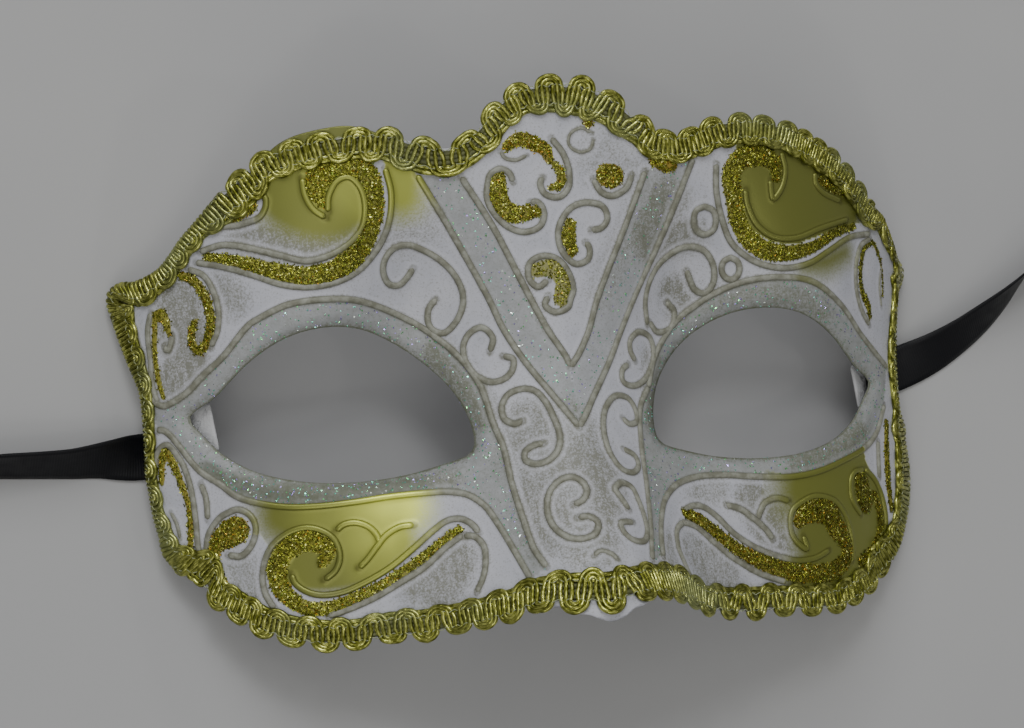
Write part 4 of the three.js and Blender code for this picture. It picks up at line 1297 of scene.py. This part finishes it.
def relief(flat, points):
    """Height added to the face at each point, and what is painted there"""
    layers = {name: np.zeros(len(points)) for name in ("frost", "pad_share", "amber")}
    height = -lip_drop(flat)

    ridge_gap = np.full(len(points), FAR)
    for name, stroke in RIDGES.items():
        gap = near_stroke(points, stroke, FAR)[0]
        ridge_gap = np.minimum(ridge_gap, gap + FAINT_GAP * (1 - FAINT.get(name, 1.0)))
    layers["ridge_gap"] = ridge_gap
    swell = SWELL["height"] * (1 - smoothstep(ridge_gap, *SWELL["slope"]))

    pad_gap = np.full(len(points), FAR)
    for amber, density, stroke in PADS.values():
        gap, half_width = near_stroke(points, stroke, PAD_REACH)
        own = gap - half_width
        nearer = own < pad_gap
        layers["pad_share"][nearer] = density
        layers["amber"][nearer] = amber
        pad_gap = np.minimum(pad_gap, own)
    layers["pad_gap"] = pad_gap
    rise = PAD["height"] * (1 - smoothstep(pad_gap, *PAD["slope"]))
    height += np.maximum(swell, rise)

    layers["gold"], layers["dark"] = gold_cover(points)
    # Darker towards the eye openings: wash, with painted shade where the face rolls down into them
    wash_and_edge_shade = EYE_WASH_AND_SHADE["strength"] * (1 - smoothstep(eye_gap(flat), 0.0, EYE_WASH_AND_SHADE["reach"]))
    for strength, stroke in WASH.values():
        gap, radius = near_stroke(points, stroke, PAINT_REACH)
        wash_and_edge_shade = np.maximum(wash_and_edge_shade, strength * (1 - smoothstep(gap - radius, *WASH_SLOPE)))
    layers["wash_and_edge_shade"] = wash_and_edge_shade
    seen = to_pixels(points)
    for strength, region in frost_regions():
        layers["frost"] = np.maximum(layers["frost"], strength * in_loop(seen, np.array(region, float)))
    gap, radius = near_stroke(points, FROST_THICK, PAINT_REACH)
    thick = 1 - smoothstep(gap - radius, *FROST_SLOPE)
    layers["frost"] = np.where(layers["frost"] > 0, np.maximum(layers["frost"], thick), 0)
    return height, layers


def frost_regions():
    """Bands with frosty glitter: how thick, and the closed loop of pixels round each"""
    left_rim = RIDGES["left_rim_upper"] + RIDGES["left_rim_lower"][::-1]
    right_rim = RIDGES["right_rim_upper"] + RIDGES["right_rim_lower"][::-1] + RIDGES["right_nose_line"][::-1]
    left_v = RIDGES["left_v_outer"] + RIDGES["left_v_inner"][::-1]
    right_v = RIDGES["right_v_outer"] + RIDGES["right_v_inner"][::-1]
    return [(0.54, left_rim), (0.62, right_rim), (0.5, left_v), (0.4, right_v)]


def mixed(tree, *terms):
    """Sum of products: each term is a list of factors"""
    total = None
    for factors in terms:
        product = factors[0]
        for factor in factors[1:]:
            product = combine(tree, "MULTIPLY", product, factor)
        total = product if total is None else combine(tree, "ADD", total, product)
    return total


def streaks(tree):
    place = add_node(tree, "TexCoord", "Object", {})
    inputs = {"Vector": place, "Rotation": (0, 0, math.radians(38)), "Scale": (1400, 170, 300)}
    turned = add_node(tree, "Mapping", "Vector", inputs)
    return add_node(tree, "TexNoise", "Fac", {"Vector": turned, "Scale": 1.0, "Detail": 3})


def gold_paint(tree, grain, colour):
    """The colour with the airbrushed gold over it, and how much gold there is"""
    gold = attribute(tree, "gold")
    soft = combine(tree, "MULTIPLY", gold, combine(tree, "SUBTRACT", 1.0, gold))
    golden = mixed(tree, [gold], [soft, remap(tree, grain, 0.3, 0.7, -0.55, 0.55)])
    golden = combine(tree, "MINIMUM", combine(tree, "MAXIMUM", golden, 0.0), 1.0)
    tone = blend_colour(tree, attribute(tree, "dark"), GOLD_COLOUR["bright"], GOLD_COLOUR["dark"])
    return blend_colour(tree, golden, colour, tone), golden


def foot_shade_paint(tree, share, golden, colour):
    """The colour with the dark line at the foot of the relief over it: painted shade in the crease, with
    some wash
    """
    foot = blend_colour(tree, golden, FOOT_SHADE_COLOUR["plain"], FOOT_SHADE_COLOUR["gold"])
    return blend_colour(tree, share, colour, foot)


def finish_paint(tree, shader, colour, golden, grain, polish):
    fill(tree, shader, {
        "Base Color": colour,
        "Metallic": combine(tree, "MULTIPLY", golden, 0.6),
        "Roughness": remap(tree, golden, 0.0, 1.0, 0.5, polish),
        "Normal": bump(tree, grain, 0.12, 0.00012),
    })


def shell_material():
    material, tree, shader = new_material("painted_shell", (0.55, 0.56, 0.60), 0.5)
    fine = noise(tree, 2300, 3, 0.7)
    middle = noise(tree, 700, 4, 0.65)
    broad = noise(tree, 110, 3)
    colour = blend_colour(tree, remap(tree, broad, 0.3, 0.7), WHITE["low"], WHITE["high"])

    ridge_gap = attribute(tree, "ridge_gap")
    near = remap(tree, ridge_gap, 0.6, 2.6, 1.0, 0.0)
    patchy = remap(tree, broad, 0.42, 0.6, 0.05, 0.5)
    # The wash layer holds the antiquing wash and the painted shade round the eye openings
    amount = mixed(tree, [near, near, patchy], [attribute(tree, "wash_and_edge_shade"), 0.8])
    amount = combine(tree, "ADD", amount, 0.12, clamp=True)
    drawn = remap(tree, streaks(tree), 0.5, 0.68)
    speck = remap(tree, mixed(tree, [fine], [amount, 0.2], [drawn, amount, 0.12]), 0.56, 0.78)
    film = mixed(tree, [speck, 0.62], [amount, remap(tree, middle, 0.35, 0.65, 0.1, 0.4)])
    colour = blend_colour(tree, combine(tree, "MINIMUM", film, 0.85), colour, WASH_AND_SHADE_COLOUR)

    # A lighter band just past the foot of each ridge: painted highlight on the shoulder of the relief, where
    # the wash is also wiped clean
    rising, falling = remap(tree, ridge_gap, 0.8, 1.2), remap(tree, ridge_gap, 2.1, 1.4)
    highlight_halo = combine(tree, "MULTIPLY", combine(tree, "MINIMUM", rising, falling), 0.5)
    colour = blend_colour(tree, highlight_halo, colour, WHITE["high"])

    frosty = mixed(tree, [attribute(tree, "frost"), remap(tree, middle, 0.3, 0.7, 0.7, 1.0)])
    colour = blend_colour(tree, frosty, colour, FROST_COLOUR)
    colour, golden = gold_paint(tree, fine, colour)

    # Dark line along the foot of each ridge: painted shade in the crease, with some wash
    rough_gap = combine(tree, "ADD", ridge_gap, remap(tree, middle, 0.3, 0.7, -0.12, 0.12))
    shadow = remap(tree, rough_gap, 0.62, 1.05, 1.0, 0.0)
    shadow = combine(tree, "MULTIPLY", shadow, remap(tree, middle, 0.35, 0.65, 0.25, 0.65))
    colour = foot_shade_paint(tree, shadow, golden, colour)

    rough_pad = combine(tree, "ADD", attribute(tree, "pad_gap"), remap(tree, fine, 0.3, 0.7, -0.2, 0.2))
    dense = remap(tree, attribute(tree, "pad_share"), 0.0, 0.4)
    bedded = combine(tree, "MULTIPLY", remap(tree, rough_pad, 0.1, -0.1), dense)
    bed = blend_colour(tree, attribute(tree, "amber"), BED_COLOUR["gold"], BED_COLOUR["amber"])
    finish_paint(tree, shader, blend_colour(tree, bedded, colour, bed), golden, fine, 0.38)
    return material


def bead_material():
    material, tree, shader = new_material("painted_relief_lines", (0.36, 0.35, 0.28), 0.5)
    fine = noise(tree, 2300, 3, 0.7)
    worn = remap(tree, noise(tree, 500, 4, 0.6), 0.4, 0.62)
    colour = blend_colour(tree, worn, BEAD_COLOUR["dirty"], BEAD_COLOUR["clean"])
    colour = blend_colour(tree, remap(tree, fine, 0.52, 0.72, 0.0, 0.5), colour, WASH_AND_SHADE_COLOUR)
    colour, golden = gold_paint(tree, fine, colour)
    # The bead's flanks take the dark foot colour while its crest stays light: painted shade down both sides
    # of each bead, with some wash
    side = combine(tree, "MULTIPLY", remap(tree, attribute(tree, "crest"), 0.75, 0.15), 0.75)
    finish_paint(tree, shader, foot_shade_paint(tree, side, golden, colour), golden, fine, 0.36)
    return material


def make_beads():
    """The moulded lines of the ornament: half-round beads, tapered at both ends"""
    turn = 2 * math.pi * (np.arange(BEAD["sides"]) + 0.5) / BEAD["sides"]
    all_points, all_faces, banks, crests, count = [], [], [], [], 0
    for name, stroke in RIDGES.items():
        line = stroke_line(stroke, BEAD["step"])[:, :3]
        closed = np.linalg.norm(line[0] - line[-1]) < BEAD["closed"]
        line = line[:-1] if closed else line
        normals = face_normals(line[:, :2])
        around = np.vstack([line[-1:], line, line[:1]]) if closed else line
        ahead = np.gradient(around, axis=0)
        ahead = unit(ahead[1:-1] if closed else ahead)
        beside = unit(np.cross(normals, ahead))
        length = np.arange(len(line)) * BEAD["step"]
        end = np.minimum(length, length[-1] - length) / BEAD["taper"]
        round_end = BEAD["end"] + (1 - BEAD["end"]) * np.sqrt(1 - (1 - np.clip(end, 0, 1)) ** 2)
        size = FAINT.get(name, 1.0) * (np.ones(len(line)) if closed else round_end)
        middle = line - normals * lip_drop(line)[:, None]
        across = beside[:, None] * (np.cos(turn)[None, :, None] * BEAD["half_width"] * size[:, None, None])
        upward = normals[:, None] * (np.sin(turn)[None, :, None] * BEAD["height"] * size[:, None, None])
        points = middle[:, None] + across + upward
        all_points.append(points.reshape(-1, 3))
        all_faces.append(skin(len(line), BEAD["sides"], closed=closed) + count)
        banks.append(np.stack([line - beside * BEAD["bank"], line + beside * BEAD["bank"]]))
        crests.append(np.tile(np.sin(turn), len(line)))
        count += len(line) * BEAD["sides"]
    points, faces = np.vstack(all_points), np.vstack(all_faces)
    piece = make_piece("mask_relief_lines", seated(points), faces, bead_material())
    banks = np.concatenate(banks, axis=1)
    (gold, dark), (other_gold, other_dark) = gold_cover(banks[0]), gold_cover(banks[1])
    dark = np.where(gold > other_gold, dark, other_dark)
    paint(piece, "gold", np.repeat(np.maximum(gold, other_gold), BEAD["sides"]))
    paint(piece, "dark", np.repeat(dark, BEAD["sides"]))
    # How high round the bead each point lies, which sets the painted shade on its flanks
    paint(piece, "crest", np.concatenate(crests))
    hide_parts("mask_shell")


def make_shell():
    front, back, faces = shell_mesh()
    points, normals = face_points(front), face_normals(front)
    height, layers = relief(front, points)
    raised = points + normals * height[:, None]
    behind = face_points(back) - face_normals(back) * WALL
    points = seated(np.vstack([raised, behind]))
    shell = make_piece("mask_relief_shell", points, faces, shell_material())
    # Full frost and wash on the back and walls at the eye openings: painted shade on the walls, with the
    # frost glaze carried over the edge
    near_eye = eye_gap(back) < 1
    for name, values in layers.items():
        behind_values = np.full(len(back), FAR if name.endswith("gap") else 0.0)
        if name in ("frost", "wash_and_edge_shade"):
            behind_values[near_eye] = 1.0
        paint(shell, name, np.concatenate([values, behind_values]))
    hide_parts("mask_shell")
    return raised, normals, layers, faces[(faces < len(front)).all(1)]


sheet_points, sheet_normals, sheet_layers, sheet_faces = make_shell()
make_beads()


# Braid
def braid_place(edge, s, across, lift):
    """Points in the mask's frame for lengths along the edge, places across the braid and heights"""
    along, rows = edge
    around = along[-1]
    s = np.mod(s, around)
    row = np.column_stack([np.interp(s, along, rows[:, k]) for k in range(9)])
    start, normal, outward = row[:, :3], unit(row[:, 3:6]), unit(row[:, 6:9])
    shift, front, share, fold = (np.interp(s, FITS[:, 0], FITS[:, k], period=around) for k in (1, 2, 3, 4))
    fold = math.pi * fold
    distance = (across + BRAID["width"] / 2) * share - front
    flat = start[:, :2] + (np.minimum(distance, 0) + shift)[:, None] * outward[:, :2]
    on_front = face_points(flat) + face_normals(flat) * lift[:, None]
    radius = WALL / 2 + BRAID_LIFT
    angle = np.minimum(np.maximum(distance, 0) / radius, fold)
    beyond = np.maximum(distance, 0) - angle * radius
    turn, slide = np.cos(angle)[:, None], np.sin(angle)[:, None]
    facing, onward = normal * turn + outward * slide, outward * turn - normal * slide
    reach = (WALL / 2 + lift)[:, None]
    edge_point = face_points(start[:, :2] + shift[:, None] * outward[:, :2])
    round_edge = edge_point - normal * WALL / 2 + facing * reach + onward * beyond[:, None]
    return np.where((distance > 0)[:, None], round_edge, on_front)


def loop_spans(edge):
    """Lengths along the edge of the outer loops, in order, all the way round"""
    along = edge[0]
    fixed = []
    for run in LOOPS:
        places = measured(edge, run)[0]
        fixed.append(sorted((place - places[-1] + 1) % along[-1] + places[-1] - 1 for place in places))
    first, second = sorted(fixed, key=lambda run: run[0] % along[-1])
    shift = first[0] - first[0] % along[-1]
    first = [place - shift for place in first]
    second = [place - (second[0] - second[0] % along[-1]) for place in second]
    loops = list(first)
    for start, end in ((first[-1], second[0]), (second[-1], first[0] + along[-1])):
        count = max(1, round((end - start) / BRAID["loop"]))
        between = [start + (end - start) * i / count for i in range(1, count)]
        loops += between + (second if start == first[-1] else [])
    whole = loops + [loops[0] + along[-1]]
    filled = []
    for start, end in zip(whole[:-1], whole[1:]):
        count = max(1, round((end - start) / FAR_APART))
        filled += [start + (end - start) * i / count for i in range(count)]
    return np.array(filled), along[-1]


def serpentine(offset, loops, around, step):
    """One cord's way to and fro across the braid: length along and place across"""
    inner = (loops + np.append(loops[1:], loops[0] + around)) / 2
    middles = np.column_stack([loops, inner]).ravel()
    after = np.append(middles[1:], middles[0] + around)
    before = np.append(middles[-1] - around, middles[:-1])
    radii = np.clip((after - before) / 4, *LOOP_RADIUS)
    outer = BRAID["width"] / 2 - BRAID["offset"] * BRAID_SQUEEZE - BRAID["radius"]
    parts = []
    for k, (middle, radius) in enumerate(zip(middles, radii)):
        way = 1 if k % 2 == 0 else -1
        own = radius + way * offset
        turn = math.pi * np.arange(0, math.pi * own, step) / (math.pi * own)
        across = way * (outer + BRAID_SQUEEZE * (own * np.sin(turn) - radius))
        arc = np.column_stack([middle - own * np.cos(turn), across])
        k_next = (k + 1) % len(middles)
        next_own = radii[k_next] - way * offset
        end = np.array([middle + own, way * (outer - BRAID_SQUEEZE * radius)])
        start = np.array([after[k] - next_own, -way * (outer - BRAID_SQUEEZE * radii[k_next])])
        share = np.arange(0, 1, step / np.linalg.norm(start - end))[:, None]
        limb = end + (start - end) * share
        spread = max(0.0, (after[k] - middle) / 3 - BRAID["offset"])
        limb[:, 0] += way * np.sign(offset) * spread * np.sin(math.pi * share[:, 0]) ** 0.6
        parts += [arc, limb]
    return np.vstack(parts)


def tube(piece_name, edge, s, across, lift, radius, sides, material, wrap=0.0, wrap_length=1.0):
    """A closed tube along the braid, in a mesh with its length and turn in a map for the material"""
    path = braid_place(edge, s, across, lift)
    above = unit(braid_place(edge, s, across, lift + 0.1) - path)
    ahead = unit(np.roll(path, -1, axis=0) - np.roll(path, 1, axis=0))
    beside = unit(np.cross(ahead, above))
    above = np.cross(beside, ahead)
    length = np.concatenate([[0], np.cumsum(np.linalg.norm(np.diff(path, axis=0), axis=1))])
    turn = 2 * math.pi * np.arange(sides) / sides
    swell = radius * (1 + wrap * np.cos(2 * math.pi * length[:, None] / wrap_length - turn[None, :]))
    ring = above[:, None, :] * np.cos(turn)[None, :, None] + beside[:, None, :] * np.sin(turn)[None, :, None]
    points = path[:, None, :] + ring * swell[:, :, None]
    faces = skin(len(path), sides, closed=True)
    piece = make_piece(piece_name, seated(points.reshape(-1, 3)), faces, material)
    around = np.tile(np.arange(sides) / sides, len(path))
    lay_map(piece, "lay", np.stack([np.repeat(length, sides), around], axis=1))
    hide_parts("gold_braid")


def gimp_material():
    material, tree, shader = new_material("gold_gimp", (0.45, 0.43, 0.14), 0.26, 0.85)
    place = add_node(tree, "UVMap", "UV", {}, uv_map="lay")
    stretch = add_node(tree, "Mapping", "Vector", {"Vector": place, "Scale": (0.5, 2.4, 1.0)})
    # Painted glints: long bright streaks lighten the base colour along each strand, standing in for
    # highlights, over the foil's own uneven tone
    glint = add_node(tree, "TexNoise", "Fac", {"Vector": stretch, "Scale": 1.0, "Detail": 3})
    share = remap(tree, glint, 0.43, 0.64)
    gold = blend_colour(tree, share, (0.12, 0.128, 0.013), (0.64, 0.66, 0.175))
    grey = remap(tree, noise(tree, 45, 2), 0.5, 0.68, 0.0, 0.75)
    inputs = {"Vector": place, "Scale": 0.62, "Distortion": 1.2}
    foil = add_node(tree, "TexWave", "Fac", inputs, bands_direction="DIAGONAL")
    fill(tree, shader, {
        "Base Color": blend_colour(tree, grey, gold, (0.31, 0.35, 0.15)),
        "Roughness": remap(tree, share, 0.0, 1.0, 0.36, 0.2),
        "Normal": bump(tree, foil, 0.15, 0.0001),
    })
    return material


def thread_material(name, roughness, grain, low, high):
    """A dull thread with a fine mottle between two colours"""
    material, tree, shader = new_material(name, high, roughness)
    tone = remap(tree, noise(tree, *grain), 0.3, 0.7)
    fill(tree, shader, {"Base Color": blend_colour(tree, tone, low, high)})
    return material


def stitch_material():
    return thread_material("gimp_stitches", 0.6, (1500, 2), (0.22, 0.25, 0.12), (0.46, 0.50, 0.32))


# The cores are dark: partly their own colour, partly painted shade in the gaps between the strands
def core_material():
    return thread_material("gimp_core", 0.7, (1200, 3), (0.05, 0.055, 0.018), (0.16, 0.17, 0.06))


def make_braid():
    loops, around = loop_spans(edge)
    chance = np.random.default_rng(SEED)
    count = len(loops)
    knots = np.append(loops, loops[0] + around)
    sway, stretch, rise = (chance.normal(0, size, count) for size in BRAID_UNEVEN)
    sway, stretch, rise = (np.append(values, values[0]) for values in (sway, stretch, rise))
    gimp = gimp_material()

    def at(values, s):
        return np.interp(np.mod(s - loops[0], around) + loops[0], knots, values)

    for name, offset in (("outer", BRAID["offset"]), ("middle", 0), ("inner", -BRAID["offset"])):
        way = serpentine(offset, loops, around, BRAID["step"])
        s = way[:, 0] + at(sway, way[:, 0])
        across = way[:, 1] * (1 + at(stretch, way[:, 0]))
        lift = BRAID_LIFT + at(rise, way[:, 0])
        tube(f"gimp_cord_{name}", edge, s, across, lift, BRAID["radius"], BRAID["sides"], gimp, 0.03, 1.6)
    thread = core_material()
    s = np.arange(0, around - CORE["step"] / 2, CORE["step"])
    for number, place in enumerate(CORE["places"]):
        across, lift = np.full(len(s), place), CORE["lift"] + at(rise, s)
        material = gimp if number < CORE["golden"] else thread
        tube(f"gimp_core_{number}", edge, s, across, lift, CORE["radius"], THREAD_SIDES, material)
    row = BRAID["width"] / 2 - LOOP_RADIUS[0] - BRAID["offset"] - BRAID["radius"] + STITCH["inset"]
    stitch = stitch_material()
    s = np.arange(0, around - STITCH["gap"], STITCH["step"])
    over = np.abs(np.cos(4 * math.pi * s / BRAID["loop"])) ** 0.7
    lift = BRAID_LIFT + at(rise, s) + STITCH["hop"] * over - STITCH["sink"]
    for name, side in (("outer", 1), ("inner", -1)):
        across = side * row + STITCH["sway"] * np.sin(2 * math.pi * s / STITCH["wave"])
        tube(f"gimp_stitch_{name}", edge, s, across, lift, STITCH["radius"], THREAD_SIDES, stitch)


make_braid()


# Glitter, as thin closed flakes
def scatter(share, per_area, chance):
    """Random places on the shell's front, as many to each square millimetre as share says"""
    corners = sheet_points[sheet_faces]
    sides = np.cross(corners[:, 1] - corners[:, 0], corners[:, 2] - corners[:, 0])
    area = np.linalg.norm(sides, axis=1) / 2
    chances = area * share[sheet_faces].mean(1)
    count = int(chances.sum() * per_area)
    picked = chance.choice(len(sheet_faces), count, p=chances / chances.sum())
    a, b = chance.random((2, count))
    a, b = np.where(a + b > 1, 1 - a, a), np.where(a + b > 1, 1 - b, b)
    mix = np.stack([1 - a - b, a, b], axis=1)[..., None]
    faces = sheet_faces[picked]
    return faces[:, 0], (sheet_points[faces] * mix).sum(1), unit((sheet_normals[faces] * mix).sum(1))


def make_flakes(name, places, normals, colours, kind, material, chance):
    """Flat three-cornered flakes with a low point, each tilted its own way"""
    count = len(places)
    leaned = unit(normals + chance.normal(0, kind["tilt"], (count, 3)))
    side = unit(np.cross(leaned, chance.normal(0, 1, (count, 3))))
    other = np.cross(leaned, side)
    middle = places + normals * chance.uniform(*kind["lift"], count)[:, None]
    radius = chance.uniform(*kind["size"], count)[:, None]
    flip = chance.choice([-1.0, 1.0], count)[:, None]
    turns = (0, 2 * math.pi / 3, 4 * math.pi / 3)
    points = [middle + radius * (side * math.cos(turn) + other * math.sin(turn)) for turn in turns]
    points.append(middle + leaned * radius * FLAKE_DEPTH * flip)
    points = np.stack(points, axis=1).reshape(-1, 3)
    up = np.array([(0, 2, 1), (0, 1, 3), (1, 2, 3), (2, 0, 3)])
    shapes = np.where((flip > 0)[:, :, None], up[None], up[None, :, ::-1])
    faces = (shapes + 4 * np.arange(count)[:, None, None]).reshape(-1, 3)
    piece = make_piece(name, seated(points), faces, material, smooth=False)
    layer = piece.data.attributes.new("tint", "FLOAT_COLOR", "POINT")
    rows = np.column_stack([np.repeat(colours, 4, axis=0), np.ones(4 * count)])
    layer.data.foreach_set("color", rows.astype(np.float32).ravel())
    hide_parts("mask_shell")


def flake_material(name, roughness, metallic):
    material, tree, shader = new_material(name, (0.5, 0.4, 0.1), roughness, metallic)
    dark = remap(tree, noise(tree, 900, 2), 0.35, 0.65, 0.0, 0.35)
    tint = attribute(tree, "tint", "Color")
    fill(tree, shader, {"Base Color": blend_colour(tree, dark, tint, (0.1, 0.09, 0.03))})
    return material


def make_gold_glitter():
    chance = np.random.default_rng(SEED + 1)
    share = sheet_layers["pad_share"] * (sheet_layers["pad_gap"] < 0)
    corner, places, normals = scatter(share, GLITTER["per_area"], chance)
    amber = sheet_layers["amber"][corner]
    kinds = np.array(GOLD_TINTS)
    odds = np.array(GOLD_ODDS)[None] + amber[:, None] * np.array(AMBER_ODDS)[None]
    odds = np.cumsum(odds / odds.sum(1, keepdims=True), axis=1)
    kind = (chance.random(len(places))[:, None] > odds).sum(1)
    colours = kinds[kind] * chance.uniform(*GOLD_BRIGHTNESS, len(places))[:, None]
    material = flake_material("gold_glitter", 0.27, 0.95)
    make_flakes("gold_glitter", places, normals, colours.clip(0, 1), GLITTER, material, chance)


def make_frost_glitter():
    chance = np.random.default_rng(SEED + 2)
    share = sheet_layers["frost"] * (sheet_layers["pad_gap"] > FROST["pad_gap"])
    _, places, normals = scatter(share, FROST["per_area"], chance)
    kinds = np.array(FROST_TINTS)
    colours = kinds[chance.integers(0, len(kinds), len(places))]
    material = flake_material("frost_glitter", 0.18, 0.9)
    make_flakes("frost_glitter", places, normals, colours, FROST, material, chance)


make_gold_glitter()
make_frost_glitter()
